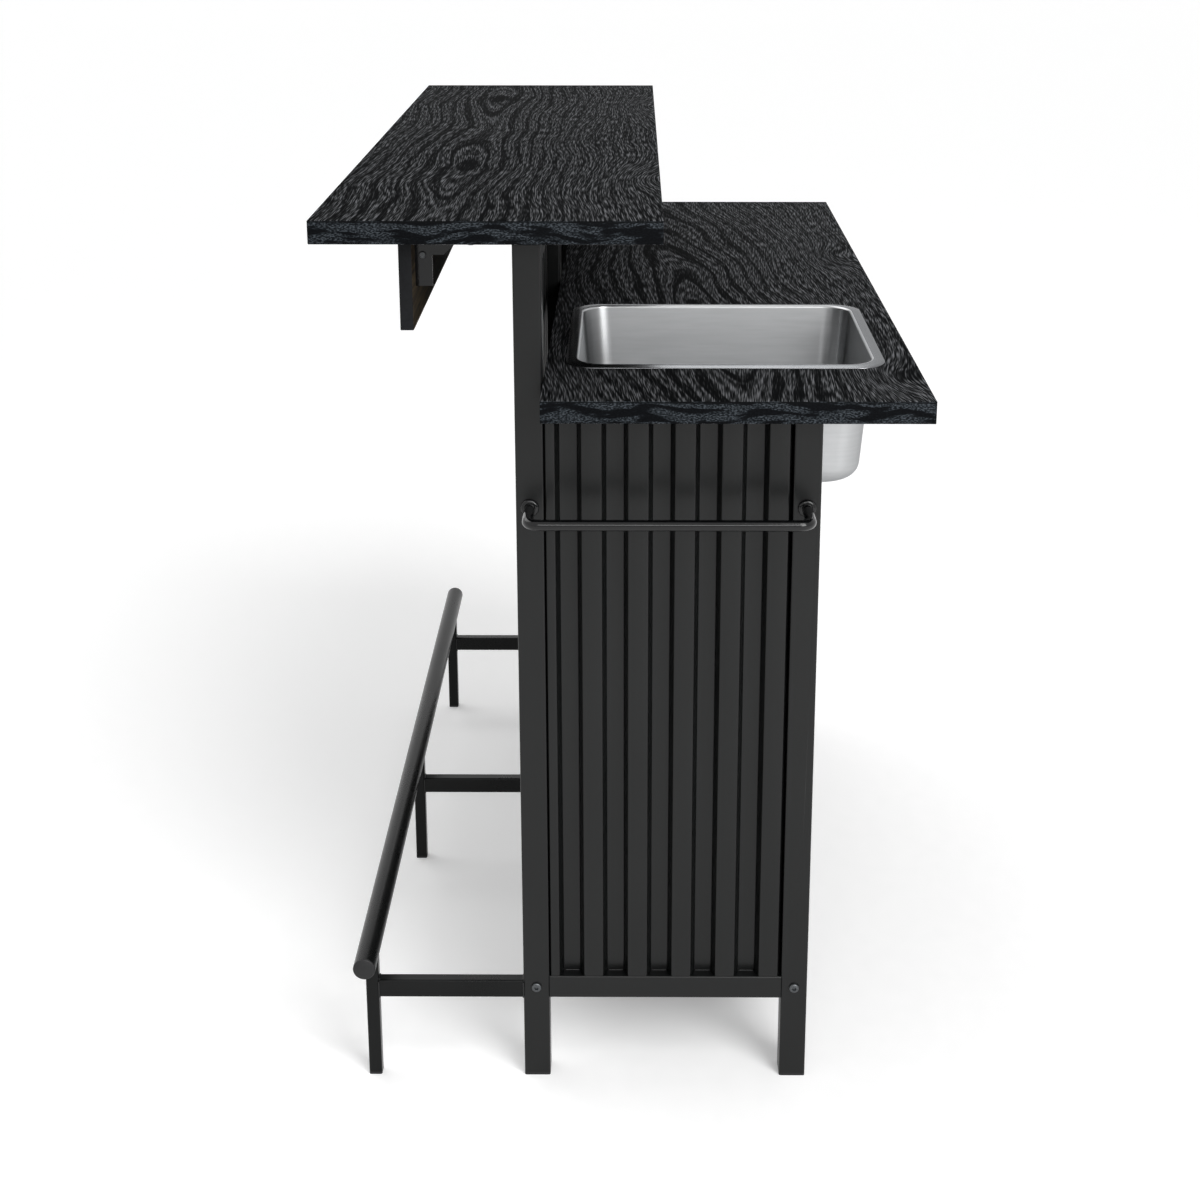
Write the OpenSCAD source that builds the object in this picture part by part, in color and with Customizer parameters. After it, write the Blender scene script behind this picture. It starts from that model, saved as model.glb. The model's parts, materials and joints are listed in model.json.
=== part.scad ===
// Bar table: a raised bar top for the guests, a lower worktop with a drop-in sink for the
// bartender, a tube frame closed by box-profile sheet, a footrail and a towel bar.
// The length runs along X, the guests stand at -Y, the bartender stands at +Y.

/* [Tops] */
// Length of the raised bar top and of the worktop
top_l = 1200; // [1100:10:1400]
// Height of the raised bar top above the floor
bar_h = 1020; // [980:1:1100]
// Height of the worktop above the floor
work_h = 836; // [790:1:870]
// Thickness of the two tops
board_t = 24; // [18:1:30]
// Depth of the raised bar top, front to back
bar_top_w = 352; // [320:1:400]
// How far the raised bar top reaches ahead of the front posts
bar_reach = 197; // [175:1:220]
// Depth of the worktop, front to back
worktop_w = 402; // [390:1:450]
// How far both tops reach past the ends of the frame
end_overhang = 76; // [68:1:90]
// Gap between a board and the post or sheet beside it
board_gap = 0.5; // [0.3:0.1:2]
// Depth of a blind pilot hole for a wood screw
pilot_depth = 13; // [8:1:13]

/* [Frame] */
// Width of the square posts
post_w = 30; // [26:1:36]
// Clear distance between the front post and the rear post
post_gap = 266; // [240:1:280]
// Wall thickness of the frame tubes
tube_wall = 1.5; // [1.2:0.1:2]
// Outer corner radius of the frame tubes
tube_r = 2.2; // [2.1:0.1:3]
// Height of the lower rails' underside above the floor
rail_lift = 102; // [60:1:160]
// Height of the lower rails
rail_h = 28; // [20:1:36]
// Height of the upper rails
top_rail_h = 22; // [18:1:24]
// Thickness of the flat arms that carry the raised bar top
arm_t = 15; // [12:1:18]
// How far the arms stop short of the raised top's bartender edge
arm_setback = 18; // [5:1:40]

/* [Box-profile panels] */
// Width from one rib to the next
rib_pitch = 50; // [44:1:60]
// Width of a rib's flat front
rib_w = 21.6; // [16:0.1:26]
// Width of the slanted wall between a rib and a groove
rib_slant = 4.6; // [3:0.1:6]
// Depth of the grooves
rib_depth = 14; // [8:0.5:18]
// Thickness of the sheet
sheet_t = 1; // [0.8:0.1:1.4]
// How far the ribs lie behind the outer face of the posts
panel_set = 1; // [0.5:0.1:4]
// Width of the part rib beside the front post on the end panels
end_lead = 11.7; // [6:0.1:20]

/* [Shelves] */
// Thickness of the shelves
shelf_t = 16; // [15:1:20]
// Height of the middle shelf's upper face above the floor
mid_shelf_h = 452; // [380:1:500]
// Leg length of the shelf angles
angle_leg = 26; // [22:1:32]
// Thickness of the shelf angles
angle_t = 2; // [1.5:0.1:3]

/* [Fascia] */
// Height of the fascia board under the raised bar top
fascia_h = 105; // [80:1:140]
// Thickness of the fascia board
fascia_t = 14; // [12:1:18]
// Distance from the guests' edge of the raised top to the fascia
fascia_set = 80; // [60:1:95]
// Thickness of the corner braces
brace_t = 2.5; // [2:0.1:4]
// Height of the corner braces
brace_h = 64; // [56:1:70]
// Length of the corner braces along the underside of the top
brace_l = 50; // [44:1:60]
// Width of the braces' hanging leg
brace_leg = 18; // [14:1:22]
// Height of the braces' upper leg
brace_arm = 31; // [27:1:36]
// Size of the chamfer on the braces' upper leg
brace_chamfer = 20; // [10:1:22]

/* [Footrail] */
// Diameter of the round footrail
footrail_d = 25; // [20:1:32]
// Wall thickness of the footrail
footrail_wall = 1.5; // [1:0.1:2.5]
// Height of the footrail's centre above the floor
footrail_z = 173; // [140:1:200]
// Distance from the front posts to the footrail's centre
footrail_reach = 174; // [140:1:200]
// How far the footrail runs past the ends of the frame
footrail_over = 58; // [20:1:66]
// Width of the square legs and of the crossbars
leg_w = 15; // [12:1:20]
// Height of the crossbars
crossbar_h = 22; // [18:1:28]
// Thickness of the footrail's end caps outside the tube
cap_t = 2; // [1.5:0.5:4]

/* [Towel bar] */
// Diameter of the towel bar
towel_d = 12; // [8:1:14]
// Distance from the post to the towel bar's centre line
towel_reach = 58; // [40:1:66]
// Height of the towel bar above the floor
towel_z = 697; // [560:1:740]
// Bend radius of the towel bar, at its centre line
towel_bend = 13; // [12:1:18]
// Diameter of the round flanges
towel_flange_d = 20; // [18:1:26]
// Thickness of the round flanges
towel_flange_t = 4; // [3:0.5:6]

/* [Sink] */
// Length of the sink over its rim, along the table
sink_l = 314; // [290:1:330]
// Width of the sink over its rim, front to back
sink_w = 348; // [320:1:354]
// Distance from the worktop's end to the sink's rim
sink_end_gap = 130; // [125:1:150]
// Distance from the worktop's front edge to the sink's rim
sink_front_gap = 21; // [15:1:30]
// Depth of the bowl below the worktop's surface
bowl_depth = 140; // [110:1:150]
// Width of the flat rim
rim_w = 14; // [12:0.5:18]
// Height of the rim above the worktop
rim_rise = 2.4; // [1.8:0.1:4]
// Corner radius of the rim and of the bowl
sink_corner = 34; // [32:1:44]
// Thickness of the sink's sheet
sink_t = 1; // [0.8:0.1:1.2]
// Draft angle of the bowl's walls
bowl_draft = 4.5; // [2:0.5:7]
// Radius between the bowl's walls and its bottom
bowl_fillet = 24; // [14:1:28]
// Width of the strip of board that carries the rim
cutout_inset = 9; // [7:0.5:9.5]

/* [Drain] */
// Diameter of the hole in the bowl's bottom
drain_d = 54; // [48:1:64]
// Outer diameter of the drain's flange
drain_flange_d = 78; // [72:1:90]
// Depth of the drain's cup below the bowl
drain_cup_h = 42; // [34:1:52]
// Diameter of the tailpiece
tail_d = 38; // [32:1:40]
// Length of the tailpiece
tail_l = 88; // [60:1:100]
// Wall thickness of the drain fittings
drain_wall = 2; // [1.5:0.1:3]
// Diameter of the lift-out stopper
stopper_d = 44; // [38:1:46]

/* [Fasteners] */
// Diameter of the frame bolts
bolt_d = 6; // [5:1:8]
// Head diameter of the frame bolts
bolt_head_d = 11.5; // [10:0.5:14]
// Head height of the frame bolts
bolt_head_h = 3.2; // [2.5:0.1:4]
// Depth of the threaded insert in a rail's end
insert_l = 20; // [15:1:30]
// Diameter of the wood screws
screw_d = 3.6; // [3:0.1:4.5]
// Head diameter of the wood screws
screw_head_d = 8; // [7:0.5:10]
// Head height of the wood screws
screw_head_h = 2.4; // [2:0.1:3.5]
// Clearance of a bolt or screw in its hole
hole_clear = 0.25; // [0.1:0.05:0.5]

/* [Hidden] */

steel_black = "#323331";
board_black = "#26282a";
plastic_black = "#1b1b1c";
stainless = "#b9b9b6";
zinc_dark = "#3c3d3e";
round_fn = 48;
corner_fn = 24;

// Frame positions: the sink end, the middle and the shelf end
frame_x = top_l / 2 - end_overhang;
end_x = frame_x - post_w / 2;
sink_end = 1;
middle = 0;
shelf_end = -1;
ENDS = [sink_end, middle, shelf_end];

// The origin lies under the middle of the whole depth, so the front face of the front posts
// follows from the two tops
board_front = post_w + board_gap;
front_y = (bar_reach - board_front - worktop_w) / 2;
front_post_y = front_y + post_w / 2;
rear_post_y = front_y + post_w + post_gap + post_w / 2;
side_y = front_y + post_w + post_gap / 2;

// Heights
arm_z = bar_h - board_t - arm_t;
bar_under = bar_h - board_t;
work_under = work_h - board_t;
rail_top = rail_lift + rail_h;
bolt_z = rail_lift + rail_h / 2;
upper_bolt_z = work_under - top_rail_h / 2;
plug_flange = 3;
plug_depth = 12;
plug_clear = 0.1;
bay_x = end_x / 2;
bay_gap = end_x - post_w;

// Tops
bar_front_y = front_y - bar_reach;
worktop_y = front_y + board_front;
fascia_y = bar_front_y + fascia_set;
fascia_back = fascia_y + fascia_t;
fascia_l = 2 * frame_x;
arm_front = fascia_back;
arm_plug = 2;
arm_end = bar_front_y + bar_top_w - arm_setback;
arm_back = arm_end - arm_plug;

// Screws: the shank ends this far short of its pilot hole's end
screw_tip = 1;
pilot_r = screw_d / 2 + 0.05;
screw_hole_r = screw_d / 2 + hole_clear;
arm_screw_ys = [arm_front + 60, arm_back - 30];
rail_screw_ys = [side_y - post_gap / 3, side_y + post_gap / 3];
rail_screw_side = screw_head_d / 2 + 1;
fascia_pilot = fascia_t - 3;

// Shelves: the sheet's back leaves the room between the two panels
panel_back = panel_set + rib_depth;
shelf_x = frame_x - panel_back - board_gap;
rail_screw_x = shelf_x - rail_screw_side;
shelf_front = front_y + panel_back + board_gap;
shelf_back = rear_post_y + post_w / 2;
mid_shelf_z = mid_shelf_h - shelf_t;
angle_hole = angle_leg - 10;
angle_w = post_w - panel_back - board_gap;
angle_front_y = front_y + post_w - angle_w / 2;

// Sink
sink_x = top_l / 2 - sink_end_gap - sink_l / 2;
sink_y = worktop_y + sink_front_gap + sink_w / 2;
bowl_bottom = work_h - bowl_depth;
edge_roll = 5;
lip_run = 3;
arc_steps = 6;
corner_steps = 8;
drain_r = drain_d / 2;
drain_fit = 0.4;
cup_r = drain_r - drain_fit;
cup_in = cup_r - drain_wall;
cup_floor = bowl_bottom - drain_cup_h;
neck_r = tail_d / 2 + 2;
neck_h = 22;
neck_end = cup_floor - drain_wall - neck_h;
gasket_t = 3;
locknut_t = 9;
tail_flange_t = 2;
slip_wall = 4;

// Round footrail
footrail_y = front_y - footrail_reach;
footrail_half = frame_x + footrail_over;
leg_x = frame_x - leg_w / 2;
saddle_clear = 0.1;
crossbar_l = footrail_reach - leg_w / 2;

// A rectangle with round corners, centred on the origin
module rounded_rect(w, d, r) {
    square([w - 2 * r, d], center = true);
    square([w, d - 2 * r], center = true);
    for (sx = [-1, 1], sy = [-1, 1])
        translate([sx * (w / 2 - r), sy * (d / 2 - r)])
            circle(r, $fn = corner_fn);
}

// A rectangular tube that stands on the origin
module tube_z(w, d, l) {
    linear_extrude(l)
        difference() {
            rounded_rect(w, d, tube_r);
            rounded_rect(w - 2 * tube_wall, d - 2 * tube_wall, tube_r - tube_wall);
        }
}

// A rectangular tube along X, centred
module tube_x(l, d, h) {
    translate([-l / 2, 0, 0])
        rotate([0, 90, 0])
            tube_z(h, d, l);
}

// A rectangular tube along Y, centred
module tube_y(l, w, h) {
    translate([0, -l / 2, 0])
        rotate([-90, 0, 0])
            tube_z(w, h, l);
}

// A cylinder along X from the origin
module rod_x(r, l) {
    rotate([0, 90, 0])
        cylinder(r = r, h = l, $fn = round_fn);
}

// X of the posts' centre line at an end
function post_x(at) = at * end_x;

// X of a bay's centre: the sink bay is at +X, the shelf bay at -X
function bay_center(at) = at * bay_x;

// Holes through a post for the frame bolts, along X
module bolt_hole(z) {
    translate([-post_w, 0, z])
        rod_x(bolt_d / 2 + hole_clear, 2 * post_w);
}

// Where the middle shelf's angles are screwed on a post: both sides of a middle post, the
// inner side of an end post
function angle_sides(at) = at == middle ? [-1, 1] : [-at];
angle_screw_z = mid_shelf_z - angle_hole;

module angle_post_holes(at, y) {
    for (side = angle_sides(at))
        translate([0, y, angle_screw_z])
            rotate([0, 90 * side, 0])
                cylinder(r = screw_hole_r, h = post_w, $fn = corner_fn);
}

module towel_holes(at) {
    if (at == sink_end)
        translate([-post_w, 0, towel_z])
            rod_x(screw_hole_r, 2 * post_w);
}

module front_post(at) {
    color(steel_black)
        translate([post_x(at), front_post_y, 0])
            difference() {
                translate([0, 0, plug_flange])
                    tube_z(post_w, post_w, arm_z - plug_flange);
                if (at != middle)
                    bolt_hole(bolt_z);
                angle_post_holes(at, angle_front_y - front_post_y);
                towel_holes(at);
            }
}

module rear_post(at) {
    color(steel_black)
        translate([post_x(at), rear_post_y, 0])
            difference() {
                translate([0, 0, plug_flange])
                    tube_z(post_w, post_w, work_under - plug_flange);
                if (at != middle)
                    bolt_hole(bolt_z);
                if (at == shelf_end)
                    bolt_hole(upper_bolt_z);
                angle_post_holes(at, 0);
                towel_holes(at);
            }
}

module lower_side_rail(at) {
    color(steel_black)
        translate([post_x(at), side_y, rail_lift + rail_h / 2])
            tube_y(post_gap, post_w, rail_h);
}

// The upper side rails carry the worktop, with screws from below
module upper_side_rail(at) {
    color(steel_black)
        difference() {
            translate([post_x(at), side_y, work_under - top_rail_h / 2])
                tube_y(post_gap, post_w, top_rail_h);
            for (y = rail_screw_ys)
                translate([at * rail_screw_x, y, work_under - 2 * top_rail_h])
                    cylinder(r = screw_hole_r, h = 3 * top_rail_h, $fn = corner_fn);
        }
}

module bay_rail(at, y, z, h) {
    color(steel_black)
        translate([bay_center(at), y, z + h / 2])
            tube_x(bay_gap, post_w, h);
}

module arm(at) {
    color(steel_black)
        difference() {
            translate([post_x(at), (arm_front + arm_back) / 2, arm_z + arm_t / 2])
                tube_y(arm_back - arm_front, post_w, arm_t);
            for (y = arm_screw_ys)
                translate([post_x(at), y, arm_z - arm_t])
                    cylinder(r = screw_hole_r, h = 3 * arm_t, $fn = corner_fn);
        }
}

// Box-profile sheet: a strip of flat ribs, slanted walls and grooves, seen from above with
// the ribs' fronts on y = 0 and the grooves behind. It starts with a rib of the width lead.
min_rib = 8;
groove_w = rib_pitch - rib_w;
function groove_count(w, lead) = floor((w - lead + rib_w - min_rib) / rib_pitch);
function even_count(w) = floor((w + rib_w - 2 * min_rib) / rib_pitch);
function even_lead(w) = (w - even_count(w) * rib_pitch + rib_w) / 2;

// The slanted wall leans by this much more on the sheet's back, which keeps its thickness
slant_angle = atan2(rib_depth - sheet_t, rib_slant);
bend_shift = sheet_t * tan(slant_angle / 2);

function groove_line(x, top, floor_y, shift) = [
    [x - shift, top],
    [x + rib_slant - shift, floor_y],
    [x + groove_w - rib_slant + shift, floor_y],
    [x + groove_w + shift, top]
];

function reversed(list) = [for (i = [len(list) - 1:-1:0]) list[i]];

module box_profile(w, lead) {
    n = groove_count(w, lead);
    front = [for (i = [0:n - 1])
        each groove_line(lead + i * rib_pitch, 0, rib_depth - sheet_t, 0)];
    back = [for (i = [0:n - 1])
        each groove_line(lead + i * rib_pitch, sheet_t, rib_depth, bend_shift)];
    polygon(concat([[0, 0]], front, [[w, 0], [w, sheet_t]], reversed(back), [[0, sheet_t]]));
}

// The end panels start beside the front post with the narrow part rib
module end_panel(at) {
    color(steel_black)
        translate([at * (frame_x - panel_set), front_y + post_w, rail_top])
            mirror([at == shelf_end ? 1 : 0, 0, 0])
                rotate(90)
                    linear_extrude(work_under - top_rail_h - rail_top)
                        box_profile(post_gap, end_lead);
}

module front_panel(at) {
    color(steel_black)
        translate([bay_center(at) - bay_gap / 2, front_y + panel_set, rail_top])
            linear_extrude(arm_z - top_rail_h - rail_top)
                box_profile(bay_gap, even_lead(bay_gap));
}

// A wood screw with its head below z = 0 and its shank upwards
module wood_screw(l) {
    translate([0, 0, -screw_head_h])
        cylinder(r1 = screw_head_d / 2 - 0.8, r2 = screw_head_d / 2, h = screw_head_h, $fn = corner_fn);
    translate([0, 0, -0.1])
        cylinder(r = screw_d / 2, h = l + 0.1, $fn = corner_fn);
}

// Screws and pilot holes that point up, at a list of places. A screw goes through the thickness
// of what it holds and into the board above it.
module screws_up(places, through) {
    for (p = places)
        translate(p - [0, 0, through])
            wood_screw(through + pilot_depth - screw_tip);
}

module pilots_up(places) {
    for (p = places)
        translate(p - [0, 0, 1])
            cylinder(r = pilot_r, h = pilot_depth + 1, $fn = corner_fn);
}

arm_screws = [for (at = ENDS, y = arm_screw_ys) [post_x(at), y, bar_under]];
rail_screws = [for (at = ENDS, y = rail_screw_ys) [at * rail_screw_x, y, work_under]];

// The middle shelf lies on angles, which leave the room for the front sheet
angle_places = [for (at = ENDS, side = angle_sides(at), y = [angle_front_y, rear_post_y])
    [post_x(at) + side * post_w / 2, y, side]];
shelf_screws = [for (p = angle_places) [p.x + p.z * angle_hole, p.y, mid_shelf_z]];

// Sink clips: one at each end of the sink's quarter lines and one at the middle of its sides
clip_reach = 6;
clip_t = 1.5;
clip_w = 20;
clip_turns = [for (side = [-1, 1], y = [-sink_w / 4, sink_w / 4]) [side, y]];
clip_screws = concat(
    [for (c = clip_turns) [sink_x + c.x * sink_l / 2, sink_y + c.y, work_under]],
    [for (side = [-1, 1]) [sink_x, sink_y + side * sink_w / 2, work_under]]);

// The braces stand on the inner side of the arms, the middle one on the shelf side
function brace_side(at) = at == shelf_end ? 1 : -1;
function brace_x(at) = post_x(at) + brace_side(at) * post_w / 2;
brace_flange = 16;
brace_hole_y = brace_l - 12;
brace_bolt_y = 8;
brace_screws = [for (at = ENDS)
    [brace_x(at) + brace_side(at) * brace_flange / 2, fascia_back + brace_hole_y, bar_under]];
fascia_screws = [for (at = ENDS)
    [brace_x(at) + brace_side(at) * brace_flange / 2, fascia_back, bar_under - brace_h + 12]];

module raised_bar_top() {
    color(board_black)
        difference() {
            translate([-top_l / 2, bar_front_y, bar_under])
                cube([top_l, bar_top_w, board_t]);
            pilots_up(arm_screws);
            pilots_up(brace_screws);
        }
}

module sink_outline(inset, r) {
    translate([sink_x, sink_y])
        rounded_rect(sink_l - 2 * inset, sink_w - 2 * inset, r);
}

module worktop() {
    color(board_black)
        difference() {
            translate([-top_l / 2, worktop_y, work_under])
                cube([top_l, worktop_w, board_t]);
            translate([0, 0, work_under - 1])
                linear_extrude(board_t + 2)
                    sink_outline(cutout_inset, sink_corner - 4);
            pilots_up(rail_screws);
            pilots_up(clip_screws);
        }
}

module fascia_board() {
    color(board_black)
        difference() {
            translate([-fascia_l / 2, fascia_y, bar_under - fascia_h])
                cube([fascia_l, fascia_t, fascia_h]);
            for (p = fascia_screws)
                translate(p + [0, 1, 0])
                    rotate([90, 0, 0])
                        cylinder(r = pilot_r, h = fascia_pilot + 1, $fn = corner_fn);
        }
}

// The shelves fill the frame up to the sheet and are notched round the posts
module shelf_board(z) {
    difference() {
        translate([-shelf_x, shelf_front, z])
            cube([2 * shelf_x, shelf_back - shelf_front, shelf_t]);
        for (at = ENDS, y = [front_post_y, rear_post_y])
            translate([post_x(at), y, z + shelf_t / 2])
                cube([post_w + 2 * board_gap, post_w + 2 * board_gap, 2 * shelf_t], center = true);
    }
}

module bottom_shelf() {
    color(board_black)
        shelf_board(rail_top);
}

module middle_shelf() {
    color(board_black)
        difference() {
            shelf_board(mid_shelf_z);
            pilots_up(shelf_screws);
        }
}

module shelf_angles() {
    color(steel_black)
        for (p = angle_places)
            difference() {
                translate([p.x, p.y, mid_shelf_z])
                    mirror([p.z < 0 ? 1 : 0, 0, 0]) {
                        translate([0, -angle_w / 2, -angle_leg])
                            cube([angle_t, angle_w, angle_leg]);
                        translate([0, -angle_w / 2, -angle_t])
                            cube([angle_leg, angle_w, angle_t]);
                    }
                translate([p.x + p.z * angle_hole, p.y, mid_shelf_z - 2 * angle_t])
                    cylinder(r = screw_hole_r, h = 3 * angle_t, $fn = corner_fn);
                translate([p.x - 2 * angle_t, p.y, angle_screw_z])
                    rotate([0, 90, 0])
                        cylinder(r = screw_hole_r, h = 4 * angle_t, $fn = corner_fn);
            }
}

// Pressed corner braces: a flat web beside the arm, a flange on the fascia and one under the top
brace_outline = [
    [0, 0],
    [brace_l, 0],
    [brace_l, brace_chamfer - brace_arm],
    [brace_l - brace_chamfer, -brace_arm],
    [brace_leg, -brace_arm],
    [brace_leg, -brace_h],
    [0, -brace_h]
];

module fascia_braces() {
    color(steel_black)
        for (at = ENDS)
            difference() {
                translate([brace_x(at), fascia_back, bar_under])
                    mirror([brace_side(at) < 0 ? 1 : 0, 0, 0]) {
                        rotate([90, 0, 90])
                            linear_extrude(brace_t)
                                polygon(brace_outline);
                        translate([0, 0, -brace_h])
                            cube([brace_flange, brace_t, brace_h]);
                        translate([0, 0, -brace_t])
                            cube([brace_flange, brace_l, brace_t]);
                    }
                translate([brace_x(at) - 2 * brace_t, fascia_back + brace_bolt_y, bar_under - brace_arm])
                    rod_x(screw_hole_r, 4 * brace_t);
                translate(brace_screws[1 - at] - [0, 0, 2 * brace_t])
                    cylinder(r = screw_hole_r, h = 3 * brace_t, $fn = corner_fn);
                translate(fascia_screws[1 - at] + [0, 2 * brace_t, 0])
                    rotate([90, 0, 0])
                        cylinder(r = screw_hole_r, h = 3 * brace_t, $fn = corner_fn);
            }
}

// A plastic plug closes a tube: a flange of the tube's outline and a block that fits its bore
module tube_plug(w, d) {
    linear_extrude(plug_flange)
        rounded_rect(w, d, tube_r);
    linear_extrude(plug_flange + plug_depth)
        rounded_rect(w - 2 * tube_wall - 2 * plug_clear, d - 2 * tube_wall - 2 * plug_clear,
            tube_r - tube_wall);
}

module post_foot_plugs() {
    color(plastic_black)
        for (at = ENDS, y = [front_post_y, rear_post_y])
            translate([post_x(at), y, 0])
                tube_plug(post_w, post_w);
}

module leg_foot_plugs() {
    color(plastic_black)
        for (at = ENDS)
            translate([at * leg_x, footrail_y, 0])
                tube_plug(leg_w, leg_w);
}

module arm_plugs() {
    color(plastic_black)
        for (at = ENDS)
            translate([post_x(at), arm_end, arm_z + arm_t / 2])
                rotate([90, 0, 0]) {
                    linear_extrude(arm_plug)
                        rounded_rect(post_w, arm_t, tube_r);
                    linear_extrude(arm_plug + plug_depth)
                        rounded_rect(post_w - 2 * tube_wall - 2 * plug_clear,
                            arm_t - 2 * tube_wall - 2 * plug_clear, tube_r - tube_wall);
                }
}

// The round footrail lies in saddles that are cut into the tops of its legs
module footrail() {
    color(steel_black)
        translate([cap_t - footrail_half, footrail_y, footrail_z])
            difference() {
                rod_x(footrail_d / 2, 2 * (footrail_half - cap_t));
                translate([-1, 0, 0])
                    rod_x(footrail_d / 2 - footrail_wall, 2 * footrail_half);
            }
}

module footrail_caps() {
    color(plastic_black)
        for (side = [-1, 1])
            translate([side * (footrail_half - cap_t), footrail_y, footrail_z])
                rotate([0, 90 * side, 0]) {
                    rotate_extrude($fn = round_fn)
                        polygon([[0, 0], [footrail_d / 2, 0], [footrail_d / 2, cap_t / 2],
                            [footrail_d / 2 - cap_t / 2, cap_t], [0, cap_t]]);
                    translate([0, 0, -plug_depth])
                        cylinder(r = footrail_d / 2 - footrail_wall - plug_clear, h = plug_depth,
                            $fn = round_fn);
                }
}

module footrail_leg(at) {
    color(steel_black)
        translate([at * leg_x, footrail_y, 0])
            difference() {
                translate([0, 0, plug_flange])
                    tube_z(leg_w, leg_w, footrail_z - plug_flange);
                translate([-leg_w, 0, footrail_z])
                    rod_x(footrail_d / 2 + saddle_clear, 2 * leg_w);
            }
}

module crossbar(at) {
    color(steel_black)
        translate([at * leg_x, front_y - crossbar_l / 2, rail_lift + crossbar_h / 2])
            tube_y(crossbar_l, leg_w, crossbar_h);
}

// The towel bar: two legs out of the posts, two bends and the bar between them
towel_out = towel_reach - towel_bend;
towel_run = rear_post_y - front_post_y;
towel_thread = 14;

module towel_half() {
    difference() {
        rod_x(towel_d / 2, towel_out);
        translate([-1, 0, 0])
            rod_x(pilot_r, towel_thread + 1);
    }
    translate([towel_out, towel_bend, 0])
        rotate(-90)
            rotate_extrude(angle = 90, $fn = round_fn)
                translate([towel_bend, 0])
                    circle(towel_d / 2, $fn = round_fn);
    translate([towel_reach, towel_bend, 0])
        rotate([-90, 0, 0])
            cylinder(r = towel_d / 2, h = towel_run / 2 - towel_bend, $fn = round_fn);
}

module towel_bar() {
    color(steel_black)
        translate([frame_x, side_y, towel_z])
            for (side = [0, 1])
                mirror([0, side, 0])
                    translate([0, -towel_run / 2, 0])
                        towel_half();
}

module towel_bar_flanges() {
    color(steel_black)
        for (y = [front_post_y, rear_post_y])
            translate([frame_x, y, towel_z])
                rotate([0, 90, 0])
                    rotate_extrude($fn = round_fn)
                        polygon([[towel_d / 2 + 0.1, 0], [towel_flange_d / 2, 0],
                            [towel_flange_d / 2, towel_flange_t / 2],
                            [towel_flange_d / 2 - towel_flange_t / 2, towel_flange_t],
                            [towel_d / 2 + 0.1, towel_flange_t]]);
}

module towel_bar_screws() {
    color(zinc_dark)
        for (y = [front_post_y, rear_post_y])
            translate([frame_x - post_w, y, towel_z])
                rotate([0, 90, 0])
                    wood_screw(post_w + towel_thread - screw_tip);
}

// Deep-drawn sink bowl. Each ring is [inset from the rim's edge, height over the worktop, corner
// radius]. The upper rings run over the rim and down the bowl, the lower ones one sheet below.
wall_top = rim_rise - edge_roll;
wall_foot = -bowl_depth + bowl_fillet * (1 - sin(bowl_draft));
foot_inset = rim_w + (wall_top - wall_foot) * tan(bowl_draft);
fillet_inset = foot_inset + bowl_fillet * cos(bowl_draft);
fillet_z = -bowl_depth + bowl_fillet;
lip_angle = atan2(rim_rise, lip_run);

function roll_ring(a, t) = [
    rim_w - edge_roll + (edge_roll - t) * sin(a),
    wall_top + (edge_roll - t) * cos(a),
    sink_corner + t
];

function fillet_ring(a, t) = [
    fillet_inset - (bowl_fillet + t) * cos(a),
    fillet_z - (bowl_fillet + t) * sin(a),
    sink_corner + t - (fillet_inset - (bowl_fillet + t) * cos(a) - foot_inset + t * cos(bowl_draft))
];

function bowl_rings(t) = concat(
    [[t / sin(lip_angle), 0, sink_corner + t]],
    [[lip_run + t * tan(lip_angle / 2), rim_rise - t, sink_corner + t]],
    [for (k = [0:arc_steps]) roll_ring(90 * k / arc_steps, t)],
    [for (k = [0:arc_steps]) fillet_ring(bowl_draft + (90 - bowl_draft) * k / arc_steps, t)]);

function ring_points(ring) = [for (c = [0:3], k = [0:corner_steps])
    let (
        a = 90 * c + 90 * k / corner_steps,
        side_x = c == 0 || c == 3 ? 1 : -1,
        side_y = c < 2 ? 1 : -1,
        r = ring[2]
    )
    [
        side_x * (sink_l / 2 - ring[0] - r) + r * cos(a),
        side_y * (sink_w / 2 - ring[0] - r) + r * sin(a),
        ring[1]
    ]];

module bowl_shell() {
    rings = concat(reversed(bowl_rings(0)), bowl_rings(sink_t));
    n = 4 * (corner_steps + 1);
    last = len(rings) - 1;
    walls = [for (i = [0:last - 1], k = [0:n - 1])
        let (a = i * n + k, b = i * n + (k + 1) % n)
        each [[a, b, b + n], [a, b + n, a + n]]];
    inner_floor = [for (k = [n - 1:-1:0]) k];
    outer_floor = [for (k = [0:n - 1]) last * n + k];
    polyhedron(points = [for (ring = rings) each ring_points(ring)],
        faces = concat(walls, [inner_floor, outer_floor]));
}

module sink_bowl() {
    color(stainless)
        translate([sink_x, sink_y, work_h])
            difference() {
                bowl_shell();
                translate([0, 0, -bowl_depth - 2 * sink_t])
                    cylinder(r = drain_r, h = 4 * sink_t, $fn = round_fn);
            }
}

seal_out = 4.5;
seal_in = 8.5;

module sink_seal() {
    color(plastic_black)
        translate([0, 0, work_h])
            linear_extrude(rim_rise - sink_t - 0.2)
                difference() {
                    sink_outline(seal_out, sink_corner);
                    sink_outline(seal_in, sink_corner);
                }
}

// A clip hooks up beside the bowl and is screwed under the worktop
clip_rise = 0.2;

module sink_clip() {
    translate([-cutout_inset - 1 - clip_t, -clip_w / 2, -clip_t])
        cube([clip_t, clip_w, board_t + clip_t + clip_rise]);
    difference() {
        translate([-cutout_inset - 1 - clip_t, -clip_w / 2, -clip_t])
            cube([cutout_inset + 1 + clip_t + clip_reach, clip_w, clip_t]);
        translate([0, 0, -2 * clip_t])
            cylinder(r = screw_hole_r, h = 3 * clip_t, $fn = corner_fn);
    }
}

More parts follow.
